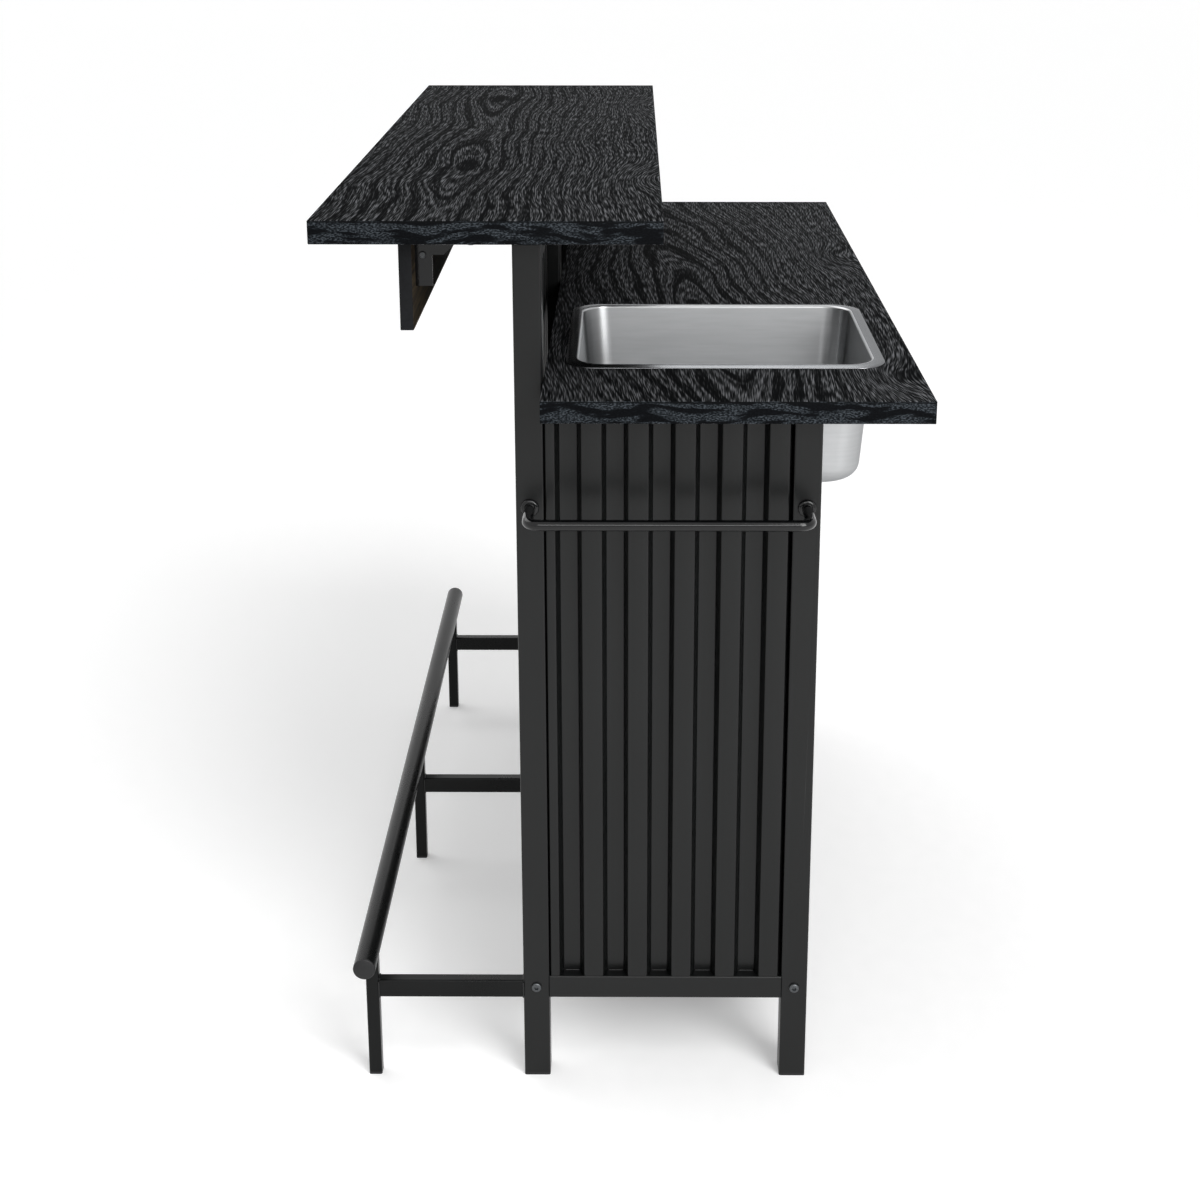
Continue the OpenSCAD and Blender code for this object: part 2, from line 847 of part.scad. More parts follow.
module sink_clips() {
    color(zinc_dark) {
        for (c = clip_turns)
            translate([sink_x + c.x * sink_l / 2, sink_y + c.y, work_under])
                rotate(c.x > 0 ? 0 : 180)
                    sink_clip();
        for (side = [-1, 1])
            translate([sink_x, sink_y + side * sink_w / 2, work_under])
                rotate(90 * side)
                    sink_clip();
    }
}

// Drain fittings, all turned about the drain's axis
flange_t = 2;
flange_edge = 0.8;
thread_clear = 0.15;
drain_under = bowl_bottom - sink_t;
flange_r = drain_flange_d / 2;

module at_drain() {
    translate([sink_x, sink_y, 0])
        children();
}

module drain_body() {
    color(stainless)
        at_drain()
            rotate_extrude($fn = round_fn)
                polygon([
                    [cup_in, bowl_bottom + flange_t],
                    [flange_r - flange_t, bowl_bottom + flange_t],
                    [flange_r, bowl_bottom + flange_edge],
                    [flange_r, bowl_bottom],
                    [cup_r, bowl_bottom],
                    [cup_r, cup_floor - drain_wall],
                    [neck_r, cup_floor - drain_wall],
                    [neck_r, neck_end],
                    [neck_r - drain_wall, neck_end],
                    [neck_r - drain_wall, cup_floor],
                    [cup_in, cup_floor]
                ]);
}

module ring_z(r_out, r_in, z, h) {
    translate([0, 0, z])
        linear_extrude(h)
            difference() {
                circle(r_out, $fn = round_fn);
                circle(r_in, $fn = round_fn);
            }
}

module drain_gasket() {
    color(plastic_black)
        at_drain()
            ring_z(flange_r - 2, cup_r + thread_clear, drain_under - gasket_t, gasket_t);
}

// The locknut has six grip notches
module drain_locknut() {
    color(plastic_black)
        at_drain()
            difference() {
                ring_z(flange_r - 3, cup_r + thread_clear, drain_under - gasket_t - locknut_t, locknut_t);
                for (a = [0:60:300])
                    rotate(a)
                        translate([flange_r - 2, 0, drain_under - gasket_t - locknut_t - 1])
                            cylinder(r = 4, h = locknut_t + 2, $fn = corner_fn);
            }
}

module tailpiece() {
    color(stainless)
        at_drain()
            rotate_extrude($fn = round_fn)
                polygon([
                    [tail_d / 2 - drain_wall, neck_end],
                    [neck_r - 0.2, neck_end],
                    [neck_r - 0.2, neck_end - tail_flange_t],
                    [tail_d / 2, neck_end - tail_flange_t],
                    [tail_d / 2, neck_end - tail_flange_t - tail_l],
                    [tail_d / 2 - drain_wall, neck_end - tail_flange_t - tail_l]
                ]);
}

slip_lip = 3;
slip_over = 14;
slip_foot = neck_end - tail_flange_t - 0.2;

module drain_slip_nut() {
    color(plastic_black)
        at_drain()
            difference() {
                translate([0, 0, slip_foot - slip_lip])
                    cylinder(r = neck_r + slip_wall + 1.5, h = neck_end + slip_over - slip_foot + slip_lip,
                        $fn = 8);
                translate([0, 0, slip_foot])
                    cylinder(r = neck_r + thread_clear, h = 2 * neck_h, $fn = round_fn);
                translate([0, 0, slip_foot - 2 * slip_lip])
                    cylinder(r = tail_d / 2 + thread_clear, h = 4 * slip_lip, $fn = round_fn);
            }
}

// The lift-out stopper: a plug in the drain's cup, a cap over its mouth and a pull knob
stopper_r = stopper_d / 2;
stopper_seat = bowl_bottom + flange_t + 0.3;
cap_r = cup_in + 4;
knob_r = 8;
stem_r = 3.5;

module drain_stopper() {
    color(stainless)
        at_drain()
            rotate_extrude($fn = round_fn)
                polygon([
                    [0, stopper_seat - 10],
                    [stopper_r - 2, stopper_seat - 10],
                    [stopper_r, stopper_seat - 8],
                    [stopper_r, stopper_seat],
                    [cap_r, stopper_seat],
                    [cap_r, stopper_seat + 0.8],
                    [cap_r * 0.6, stopper_seat + 2.2],
                    [stem_r, stopper_seat + 2.6],
                    [stem_r, stopper_seat + 9],
                    [knob_r, stopper_seat + 11],
                    [knob_r, stopper_seat + 13.5],
                    [knob_r - 1.5, stopper_seat + 15],
                    [0, stopper_seat + 15]
                ]);
}

// A frame bolt with a button head and a hex socket, its head at z >= 0 and its shank downwards
module frame_bolt() {
    difference() {
        union() {
            rotate_extrude($fn = round_fn)
                polygon([[0, 0], [bolt_head_d / 2, 0], [bolt_head_d / 2, bolt_head_h * 0.3],
                    [bolt_head_d * 0.42, bolt_head_h * 0.75], [bolt_head_d * 0.3, bolt_head_h],
                    [0, bolt_head_h]]);
            translate([0, 0, -post_w - insert_l])
                cylinder(r = bolt_d / 2, h = post_w + insert_l + 0.1, $fn = round_fn);
        }
        translate([0, 0, bolt_head_h * 0.4])
            cylinder(r = bolt_d * 0.38, h = bolt_head_h, $fn = 6);
    }
}

// Each bolt is [end, y, z]: it goes through an end post into the rail behind it
frame_bolt_places = concat(
    [for (at = [sink_end, shelf_end], y = [front_post_y, rear_post_y]) [at, y, bolt_z]],
    [[shelf_end, rear_post_y, upper_bolt_z]]);

module frame_bolts() {
    color(zinc_dark)
        for (p = frame_bolt_places)
            translate([p.x * frame_x, p.y, p.z])
                rotate([0, 90 * p.x, 0])
                    frame_bolt();
}

module rail_inserts() {
    color(zinc_dark)
        for (p = frame_bolt_places)
            translate([p.x * (end_x - post_w / 2), p.y, p.z])
                rotate([0, -90 * p.x, 0])
                    linear_extrude(insert_l)
                        difference() {
                            rounded_rect(
                                (p.z == bolt_z ? rail_h : top_rail_h)
                                    - 2 * tube_wall - 2 * plug_clear,
                                post_w - 2 * tube_wall - 2 * plug_clear, tube_r - tube_wall);
                            circle(bolt_d / 2 + plug_clear, $fn = round_fn);
                        }
}

// Screws through the brace webs, with their heads on the side of the arm
brace_bolt_l = 9;

module board_screws() {
    color(zinc_dark) {
        screws_up(arm_screws, arm_t);
        screws_up(rail_screws, top_rail_h);
        screws_up(clip_screws, clip_t);
        screws_up(brace_screws, brace_t);
        screws_up(shelf_screws, angle_t);
        for (p = angle_places)
            translate([p.x + p.z * angle_t, p.y, angle_screw_z])
                rotate([0, -90 * p.z, 0])
                    wood_screw(angle_t + pilot_depth - screw_tip);
        for (p = fascia_screws)
            translate(p + [0, brace_t, 0])
                rotate([90, 0, 0])
                    wood_screw(brace_t + fascia_pilot - screw_tip);
        for (at = ENDS)
            translate([brace_x(at), fascia_back + brace_bolt_y, bar_under - brace_arm])
                rotate([0, 90 * brace_side(at), 0])
                    wood_screw(brace_bolt_l);
    }
}

raised_bar_top();
worktop();
fascia_board();
bottom_shelf();
middle_shelf();
front_post(sink_end);  // front_post_sink_end
front_post(middle);  // front_post_middle
front_post(shelf_end);  // front_post_shelf_end
rear_post(sink_end);  // rear_post_sink_end
rear_post(middle);  // rear_post_middle
rear_post(shelf_end);  // rear_post_shelf_end
lower_side_rail(sink_end);  // lower_side_rail_sink_end
lower_side_rail(middle);  // lower_side_rail_middle
lower_side_rail(shelf_end);  // lower_side_rail_shelf_end
upper_side_rail(sink_end);  // upper_side_rail_sink_end
upper_side_rail(middle);  // upper_side_rail_middle
upper_side_rail(shelf_end);  // upper_side_rail_shelf_end
bay_rail(sink_end, front_post_y, rail_lift, rail_h);  // front_lower_rail_sink_bay
bay_rail(shelf_end, front_post_y, rail_lift, rail_h);  // front_lower_rail_shelf_bay
bay_rail(sink_end, front_post_y, arm_z - top_rail_h, top_rail_h);  // front_upper_rail_sink_bay
bay_rail(shelf_end, front_post_y, arm_z - top_rail_h, top_rail_h);  // front_upper_rail_shelf_bay
bay_rail(sink_end, rear_post_y, rail_lift, rail_h);  // rear_lower_rail_sink_bay
bay_rail(shelf_end, rear_post_y, rail_lift, rail_h);  // rear_lower_rail_shelf_bay
bay_rail(shelf_end, rear_post_y, work_under - top_rail_h, top_rail_h);  // rear_upper_rail_shelf_bay
arm(sink_end);  // arm_sink_end
arm(middle);  // arm_middle
arm(shelf_end);  // arm_shelf_end
end_panel(sink_end);  // end_panel_sink_end
end_panel(shelf_end);  // end_panel_shelf_end
front_panel(sink_end);  // front_panel_sink_bay
front_panel(shelf_end);  // front_panel_shelf_bay
fascia_braces();
shelf_angles();
post_foot_plugs();
leg_foot_plugs();
arm_plugs();
footrail();
footrail_caps();
footrail_leg(sink_end);  // footrail_leg_sink_end
footrail_leg(middle);  // footrail_leg_middle
footrail_leg(shelf_end);  // footrail_leg_shelf_end
crossbar(sink_end);  // crossbar_sink_end
crossbar(middle);  // crossbar_middle
crossbar(shelf_end);  // crossbar_shelf_end
towel_bar();
towel_bar_flanges();
towel_bar_screws();
sink_bowl();
sink_seal();
sink_clips();
drain_body();
drain_gasket();
drain_locknut();
drain_slip_nut();
tailpiece();
drain_stopper();
frame_bolts();
rail_inserts();
board_screws();
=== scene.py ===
import json
import math

import bmesh
import bpy
from mathutils import Euler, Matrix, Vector


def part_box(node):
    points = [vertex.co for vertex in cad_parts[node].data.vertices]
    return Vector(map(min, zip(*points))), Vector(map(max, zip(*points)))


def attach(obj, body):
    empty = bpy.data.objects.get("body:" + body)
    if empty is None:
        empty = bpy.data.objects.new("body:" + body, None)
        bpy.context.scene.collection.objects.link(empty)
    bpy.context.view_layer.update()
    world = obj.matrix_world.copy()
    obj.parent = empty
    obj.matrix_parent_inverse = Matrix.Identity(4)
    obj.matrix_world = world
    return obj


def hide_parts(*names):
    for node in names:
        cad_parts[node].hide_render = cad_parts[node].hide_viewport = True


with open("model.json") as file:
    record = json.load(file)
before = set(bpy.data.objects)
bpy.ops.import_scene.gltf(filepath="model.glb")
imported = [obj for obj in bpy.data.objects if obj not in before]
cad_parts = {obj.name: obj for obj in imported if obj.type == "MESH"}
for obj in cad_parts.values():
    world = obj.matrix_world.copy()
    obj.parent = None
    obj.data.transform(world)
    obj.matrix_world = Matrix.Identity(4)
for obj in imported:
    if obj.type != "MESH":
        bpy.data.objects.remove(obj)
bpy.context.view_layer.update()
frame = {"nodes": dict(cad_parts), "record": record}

# Lengths are written in millimetres and turned to metres by this
MM = 0.001
# Points closer than this count as one
TOUCH = 0.01 * MM


# ---- Small helpers -------------------------------------------------------------------------

def linear(hex_colour):
    """The linear colour of an sRGB hex value."""
    parts = [int(hex_colour[i:i + 2], 16) / 255 for i in (1, 3, 5)]
    return [c / 12.92 if c <= 0.04045 else ((c + 0.055) / 1.055) ** 2.4 for c in parts] + [1]


def add(tree, kind, *values, out=0, stops=(), **named):
    """Adds a node and returns one of its outputs. The values in order and those named with a
    capital are its inputs: a socket is linked and anything else is set. The other names are
    its settings, and stops are a ramp's places and hex colours."""
    made = tree.nodes.new("ShaderNode" + kind)
    inputs = dict(enumerate(values))
    for name, value in named.items():
        if name[0].isupper():
            inputs[name.replace("_", " ")] = value
        else:
            setattr(made, name, value)
    for socket, value in inputs.items():
        if isinstance(value, bpy.types.NodeSocket):
            tree.links.new(value, made.inputs[socket])
        else:
            made.inputs[socket].default_value = value
    for i, (at, colour) in enumerate(stops):
        if i > 1:
            made.color_ramp.elements.new(at)
        made.color_ramp.elements[i].position = at
        made.color_ramp.elements[i].color = linear(colour)
    return made.outputs[out]


def per_mm(*sizes_mm):
    """The scale that counts a coordinate in steps of these sizes."""
    return [1 / (size * MM) for size in sizes_mm]


def start_finish(name):
    """A new material, its node tree and its Object coordinates."""
    material = bpy.data.materials.new(name)
    material.use_nodes = True
    tree = material.node_tree
    tree.nodes.remove(tree.nodes["Principled BSDF"])
    return material, tree, add(tree, "TexCoord", out="Object")


def end_finish(material, surface):
    """Makes the surface the material's output."""
    material.node_tree.links.new(surface, material.node_tree.nodes["Material Output"].inputs[0])
    return material


# ---- Finishes ------------------------------------------------------------------------------

# Length, width and height of the faint clouds in a powder coat
CLOUD_MM = (90, 90, 140)


def powder_coat(name, dark, light, rough_range, peel_mm, specular):
    """Powder coating on steel: melted powder leaves a faint orange peel and a satin sheen. The
    peel is about 1 mm in real life and is drawn coarser so that it shows."""
    material, tree, place = start_finish(name)
    fine = add(tree, "Mapping", Vector=place, Scale=per_mm(peel_mm, peel_mm, peel_mm))
    peel = add(tree, "TexNoise", Vector=fine, Scale=1.0, Detail=2.0)
    broad = add(tree, "Mapping", Vector=place, Scale=per_mm(*CLOUD_MM))
    cloud = add(tree, "TexNoise", Vector=broad, Scale=1.0, Detail=4.0)
    colour = add(tree, "ValToRGB", cloud, stops=[(0.3, dark), (0.7, light)])
    uneven = add(tree, "Math", peel, 0.5, cloud, operation="MULTIPLY_ADD")
    rough = add(tree, "MapRange", uneven, 0.4, 1.1, *rough_range)
    bump = add(tree, "Bump", Height=peel, Strength=0.12, Distance=0.3 * MM)
    return end_finish(material, add(
        tree, "BsdfPrincipled", Base_Color=colour, Roughness=rough, Normal=bump,
        Specular_IOR_Level=specular))


def streaks(tree, along, across, length, width, detail=2.0):
    """Noise drawn out along the grain: its marks are about length by width, in the same unit."""
    u = add(tree, "Math", along, length, operation="DIVIDE")
    v = add(tree, "Math", across, width, operation="DIVIDE")
    return add(tree, "TexNoise", Vector=add(tree, "CombineXYZ", u, v), Scale=1.0, Detail=detail)


# The grain's sways across a board, each as its length, width and depth
SWAYS = ((300, 120, 42), (160, 90, 6), (34, 26, 1.0))
# The heart's mean depth under an eyed board, and the size of each eye's core
HEART_DEPTH = 22
CORE_LONG = 85
CORE_WIDE = 24
# A swirl's reach along and across the board, and its share of push on the pore strokes
SWIRL_LONG = 85
SWIRL_WIDE = 34
SWIRL_PUSH = 0.6


def oak_grain(tree, place, heart, swirls):
    """Coordinates in millimetres for a board sawn along the tree: x along it, y across it with
    the grain's sway, the distance from the tree's heart, whose contours are the growth rings,
    and 1 in the small dark core of each eye. heart gives (X, Y, rise, spacing, lean): with a
    spacing the heart rises and falls along the board and leaves a row of eyes, else it runs out
    of the board and leaves arches. swirls are small knots, as (X, Y, height)."""
    heart_x, heart_y, rise, spacing, lean = heart
    split = add(tree, "SeparateXYZ", place).node.outputs
    x = add(tree, "Math", split["X"], MM, operation="DIVIDE")
    y = add(tree, "Math", split["Y"], MM, operation="DIVIDE")
    for length, width, sway in SWAYS:
        wave = streaks(tree, x, y, length, width, 0.0)
        centred = add(tree, "Math", wave, 0.5, operation="SUBTRACT")
        y = add(tree, "Math", centred, sway, y, operation="MULTIPLY_ADD")
    along = add(tree, "Math", x, heart_x, operation="SUBTRACT")
    if spacing:
        turn = add(tree, "Math", along, 2 * math.pi / spacing, operation="MULTIPLY")
        wave = add(tree, "Math", turn, operation="COSINE")
        depth = add(tree, "Math", wave, -rise, HEART_DEPTH, operation="MULTIPLY_ADD")
    else:
        depth = add(tree, "Math", along, rise, operation="MULTIPLY")
    leaning = add(tree, "Math", along, -lean, y, operation="MULTIPLY_ADD")
    across = add(tree, "Math", leaning, heart_y, operation="SUBTRACT")
    depth_square = add(tree, "Math", depth, depth, operation="MULTIPLY")
    square = add(tree, "Math", across, across, depth_square, operation="MULTIPLY_ADD")
    distance = add(tree, "Math", square, 0.5, operation="POWER")
    core = 0.0
    if spacing:
        core_end = 1 - math.cos(math.pi * CORE_LONG / spacing)
        core_x = add(tree, "Math", wave, -1 / core_end, 1 / core_end, operation="MULTIPLY_ADD")
        core_y = add(tree, "Math", across, 2 / CORE_WIDE, operation="MULTIPLY")
        core_far = add(tree, "Math", core_y, core_y, core_x, operation="MULTIPLY_ADD")
        core = add(tree, "MapRange", core_far, 0.7, 1.3, 1.0, 0.0)
    for knot_x, knot_y, height in swirls:
        side_x = add(tree, "Math", x, knot_x, operation="SUBTRACT")
        side_y = add(tree, "Math", y, knot_y, operation="SUBTRACT")
        far_x = add(tree, "Math", side_x, SWIRL_LONG, operation="DIVIDE")
        far_y = add(tree, "Math", side_y, SWIRL_WIDE, operation="DIVIDE")
        far_square = add(tree, "Math", far_x, far_x, operation="MULTIPLY")
        far = add(tree, "Math", far_y, far_y, far_square, operation="MULTIPLY_ADD")
        fall = add(tree, "Math", far, -1.0, operation="MULTIPLY")
        hill = add(tree, "Math", fall, operation="EXPONENT")
        distance = add(tree, "Math", hill, height, distance, operation="MULTIPLY_ADD")
        y = add(tree, "Math", hill, height * SWIRL_PUSH, y, operation="MULTIPLY_ADD")
    return x, y, distance, core


# How many rings they are warped by, and how much their strength varies in patches
RING_WARP = 1.5
RING_PATCHES = 1.8
# Late wood starts at one level of the ring wave and is full at the other
LATE_WOOD_FROM = 1.25
LATE_WOOD_FULL = 1.7
# Between these distances from the heart the rings fade to a share of their depth
RINGS_NEAR = 60
RINGS_FAR = 150
FAR_SHARE = 0.4
# The distance between two lines of pores, and the length and width of a stroke
PORE_LINE_MM = 5.4
PORE_LONG = 28
PORE_WIDE = 1.1
# How many lines they drift by
LINE_DRIFT = 2.6
# How much the lines of pores brighten the wood and the late wood darkens it
LINE_SHARE = 0.065
LATE_WOOD_SHARE = 0.2


def embossed_oak(name, heart, swirls, ring_mm, ring_depth, lift):
    """Matt melamine laminate pressed with an oak grain. Broad dark growth rings lie round the
    heart, and between them run lines of short raised pore strokes, pale on a charcoal ground.
    The pores are about 0.3 mm wide in real life and are drawn about 1 mm wide so that they
    show. lift brightens the whole board."""
    material, tree, place = start_finish(name)
    x, y, distance, core = oak_grain(tree, place, heart, swirls)

    # Broad rings of dark, smooth late wood
    warp = streaks(tree, x, distance, 190, 40)
    ring_at = add(tree, "Math", distance, 1 / ring_mm, operation="MULTIPLY")
    ring_at = add(tree, "Math", warp, RING_WARP, ring_at, operation="MULTIPLY_ADD")
    ring_wave = add(tree, "Math", add(tree, "Math", ring_at, 2 * math.pi, operation="MULTIPLY"),
                    operation="SINE")
    patch = streaks(tree, x, distance, 240, 48)
    ring_level = add(tree, "Math", patch, RING_PATCHES, ring_wave, operation="MULTIPLY_ADD")
    late_wood = add(tree, "MapRange", ring_level, LATE_WOOD_FROM, LATE_WOOD_FULL, 0.0,
                    ring_depth)
    near_heart = add(tree, "MapRange", distance, RINGS_NEAR, RINGS_FAR, 1.0, FAR_SHARE)
    late_wood = add(tree, "Math", late_wood, near_heart, operation="MULTIPLY")
    late_wood = add(tree, "Math", late_wood, core, operation="MAXIMUM")

    # Lines of pores follow the rings, and each line is made of strokes along the board
    drift = streaks(tree, x, distance, 130, 20)
    line_at = add(tree, "Math", distance, 1 / PORE_LINE_MM, operation="MULTIPLY")
    line_at = add(tree, "Math", drift, LINE_DRIFT, line_at, operation="MULTIPLY_ADD")
    line_wave = add(tree, "Math", add(tree, "Math", line_at, 2 * math.pi, operation="MULTIPLY"),
                    operation="SINE")
    strokes = streaks(tree, x, y, PORE_LONG, PORE_WIDE, 0.7)
    level = add(tree, "Math", line_wave, LINE_SHARE, strokes, operation="MULTIPLY_ADD")
    level = add(tree, "Math", late_wood, -LATE_WOOD_SHARE, level, operation="MULTIPLY_ADD")
    level = add(tree, "Math", level, lift)
    colour = add(tree, "ValToRGB", level, stops=[
        (0.34, "#08090a"), (0.46, "#1a1b1c"), (0.54, "#2b2c2d"), (0.61, "#48494b"),
        (0.72, "#66676a")])
    rough = add(tree, "MapRange", level, 0.35, 0.7, 0.92, 0.80)
    bump = add(tree, "Bump", Height=level, Strength=0.5, Distance=0.25 * MM)
    return end_finish(material, add(
        tree, "BsdfPrincipled", Base_Color=colour, Roughness=rough, Normal=bump,
        Specular_IOR_Level=0.01))


# How far the edge band's dark streaks wander in height
FLAME_WANDER = 36
# The glue line's depth under the board's face, and how far from its middle it fades
GLUE_DEPTH = 0.7
GLUE_FULL = 0.4
GLUE_END = 0.9
# How far it wanders in height
GLUE_WANDER = 2.0


def oak_edge_band(name, top_mm):
    """Printed edge band: bluish black with a fine speckle and dark flame-shaped streaks along
    the edge. It is ironed on, so it is smooth, and a thin dark glue line shows under its upper
    edge."""
    material, tree, place = start_finish(name)
    split = add(tree, "SeparateXYZ", place).node.outputs
    run = add(tree, "Math", split["X"], split["Y"])
    run = add(tree, "Math", run, MM, operation="DIVIDE")
    z = add(tree, "Math", split["Z"], MM, operation="DIVIDE")
    slope = streaks(tree, run, z, 120, 400, 1.0)
    leaning = add(tree, "Math", slope, FLAME_WANDER, z, operation="MULTIPLY_ADD")
    flame = streaks(tree, run, leaning, 46, 9)
    speckle = streaks(tree, run, z, 2.6, 1.3)
    ground = add(tree, "ValToRGB", flame, stops=[
        (0.44, "#030406"), (0.50, "#0a0d10"), (0.66, "#121518")])
    paler = add(tree, "MapRange", speckle, 0.46, 0.62, 0.0, 1.0)
    open_grain = add(tree, "MapRange", flame, 0.46, 0.53, 0.04, 0.95)
    strength = add(tree, "Math", paler, open_grain, operation="MULTIPLY")
    colour = add(tree, "MixRGB", strength, ground, linear("#3f4449"))
    glue_wave = add(tree, "Math", slope, GLUE_WANDER, z, operation="MULTIPLY_ADD")
    glue_off = add(tree, "Math", glue_wave, top_mm - GLUE_DEPTH, operation="SUBTRACT")
    glue_far = add(tree, "Math", glue_off, operation="ABSOLUTE")
    glue = add(tree, "MapRange", glue_far, GLUE_FULL, GLUE_END, 0.85, 0.0)
    colour = add(tree, "MixRGB", glue, colour, linear("#060708"))
    rough = add(tree, "MapRange", speckle, 0.0, 1.0, 0.62, 0.78)
    bump = add(tree, "Bump", Height=speckle, Strength=0.25, Distance=0.3 * MM)
    return end_finish(material, add(
        tree, "BsdfPrincipled", Base_Color=colour, Roughness=rough, Normal=bump,
        Specular_IOR_Level=0.05))


def grained(name, tones, grain_mm, rough_range, depth_mm, **shader_values):
    """A surface with one fine grain. Three sizes give its length, width and height: even for
    moulded plastic and plating, long for a printed grain or for brush marks."""
    material, tree, place = start_finish(name)
    fine = add(tree, "Mapping", Vector=place, Scale=per_mm(*grain_mm))
    grain = add(tree, "TexNoise", Vector=fine, Scale=1.0, Detail=3.0)
    colour = add(tree, "ValToRGB", grain, stops=[(0.3, tones[0]), (0.7, tones[1])])
    rough = add(tree, "MapRange", grain, 0.25, 0.75, *rough_range)
    if depth_mm:
        shader_values["Normal"] = add(tree, "Bump", Height=grain, Strength=0.3,
                                      Distance=depth_mm * MM)
    return end_finish(material, add(
        tree, "BsdfPrincipled", Base_Color=colour, Roughness=rough, **shader_values))


# From one eye, or knot, to the next along a board
EYE_SPACING = 657
# The height of each board's upper face
TOP_HEIGHT = 1020
WORKTOP_HEIGHT = 836

# The frame and the sheets have a satin sheen. The footrail with its crossbars has a paler copy with
# much less sheen, which renders darker: painted shade for the dimmer light near the floor. The
# towel bar and the welds are glossy, and the brace gets the same dark glossy coat as painted shade
# for the shade under the raised top
satin_powder_coat = powder_coat("satin_powder_coat", "#070808", "#0b0c0c", (0.27, 0.38),
                                peel_mm=2.4, specular=0.31)
# Paler than the frame's coat but with half its sheen, so it renders darker: painted shade near the
# floor
rail_coat_painted_shade = powder_coat("rail_coat_painted_shade", "#0a0b0b", "#0f1010", (0.24, 0.34),
                               peel_mm=2.4, specular=0.16)
gloss_powder_coat = powder_coat("gloss_powder_coat", "#060607", "#0a0b0c", (0.07, 0.12),
                                peel_mm=1.8, specular=0.38)
# Black laminate with dark rings: eyes along the raised top, arches on the worktop
top_laminate = embossed_oak(
    "embossed_oak_raised_top", (237, -192, 9, EYE_SPACING, 0),
    [(331, 30, 40), (331 - EYE_SPACING, 30, 40)], ring_mm=17, ring_depth=0.8, lift=0.0)
worktop_laminate = embossed_oak(
    "embossed_oak_worktop", (250, 95, 0.11, 0, 0.09),
    [(-150, 278, 42), (-150 + EYE_SPACING, 278, 42)], ring_mm=20, ring_depth=1.0, lift=0.015)
top_band = oak_edge_band("oak_edge_band_raised_top", TOP_HEIGHT)
worktop_band = oak_edge_band("oak_edge_band_worktop", WORKTOP_HEIGHT)
# Printed grain that runs along the table, black towards the guests and brownish inside
fascia_laminate = grained("fascia_laminate", ("#08090a", "#2f3032"), (80, 3, 3), (0.6, 0.75), 0.3,
                          Specular_IOR_Level=0.1)
fascia_inside = grained("fascia_inside", ("#0b0908", "#443b2e"), (70, 3, 3), (0.6, 0.75), 0.3,
                        Specular_IOR_Level=0.1)
# Melamine-faced chipboard: matt, with a faint straight grain
shelf_melamine = grained("shelf_melamine", ("#0e0f11", "#18191b"), (160, 4, 4), (0.6, 0.75), 0.2,
                         Specular_IOR_Level=0.14)
# Deep-drawn stainless sheet, polished round the bowl: smooth, and its highlights are drawn
# out up and down the walls
satin_bowl = grained("satin_stainless_bowl", ("#abacad", "#b1b2b3"), (50, 50, 4), (0.30, 0.32), 0,
                     Metallic=1.0, Anisotropic=0.55, Anisotropic_Rotation=0.25,
                     Specular_Tint=linear("#d1d2d3"))
# The rim's face is a darker copy of the bowl's steel: painted dark reflection of dark surroundings,
# with a sharper highlight
rim_steel_painted_dark = grained("stainless_rim_painted_dark_reflection", ("#747577", "#7b7c7e"), (50, 50, 4), (0.20, 0.23), 0,
                      Metallic=1.0, Anisotropic=0.55, Specular_Tint=linear("#d1d2d3"))
# Turned and polished stainless fittings: bright and even, a little duller in places
turned_steel = grained("turned_stainless", ("#aeafb0", "#bcbdbe"), (9, 9, 3), (0.18, 0.26), 0,
                       Metallic=1.0)
# Injection-moulded plugs and nuts: a fine spark-eroded texture
moulded_plastic = grained("moulded_plastic", ("#121213", "#1c1c1d"), (0.9, 0.9, 0.9), (0.45, 0.6),
                          0.05, Specular_IOR_Level=0.35)
# Soft seals: dull and slightly mottled
rubber = grained("rubber_seal", ("#0f0f10", "#161617"), (1.4, 1.4, 1.4), (0.7, 0.85), 0.08,
                 Specular_IOR_Level=0.3)
# Blackened zinc plating on screws, bolts and clips: mottled dark metal
dark_zinc = grained("dark_zinc", ("#3a3b3c", "#5a5c5d"), (1.1, 1.1, 1.1), (0.32, 0.5), 0.03,
                    Metallic=1.0)
bolt_zinc = grained("bolt_zinc", ("#4c4e50", "#5e6062"), (1.1, 1.1, 1.1), (0.28, 0.42), 0.02,
                    Metallic=1.0)

CAD_FINISHES = {
    "powder_coated_steel": satin_powder_coat,
    "embossed_oak_laminate": top_laminate,
    "black_laminate": shelf_melamine,
    "stainless_steel": turned_steel,
    "black_plastic": moulded_plastic,
    "dark_zinc": dark_zinc,
}
SLOTS = {part["node"]: part["material_slot"] for part in frame["record"]["subparts"]}
for node_name, cad_object in frame["nodes"].items():
    finish = CAD_FINISHES[SLOTS[node_name]]
    if node_name in ("sink_seal", "drain_gasket"):
        finish = rubber
    # The footrail and the crossbars get the darker-rendering coat: painted shade near the floor
    elif node_name.startswith(("crossbar", "footrail")):
        finish = rail_coat_painted_shade
    # The braces get the dark glossy coat: painted shade for the shade under the raised top
    elif node_name == "fascia_braces":
        finish = gloss_powder_coat
    for slot in cad_object.material_slots:
        slot.material = finish


# ---- Modelling helpers ---------------------------------------------------------------------

def select_only(*chosen):
    bpy.ops.object.select_all(action="DESELECT")
    for piece in chosen:
        piece.select_set(True)
    bpy.context.view_layer.objects.active = chosen[-1]


def settle(piece):
    """Puts the piece's place, turn and size into its mesh."""
    select_only(piece)
    bpy.ops.object.transform_apply(location=True, rotation=True, scale=True)
    return piece


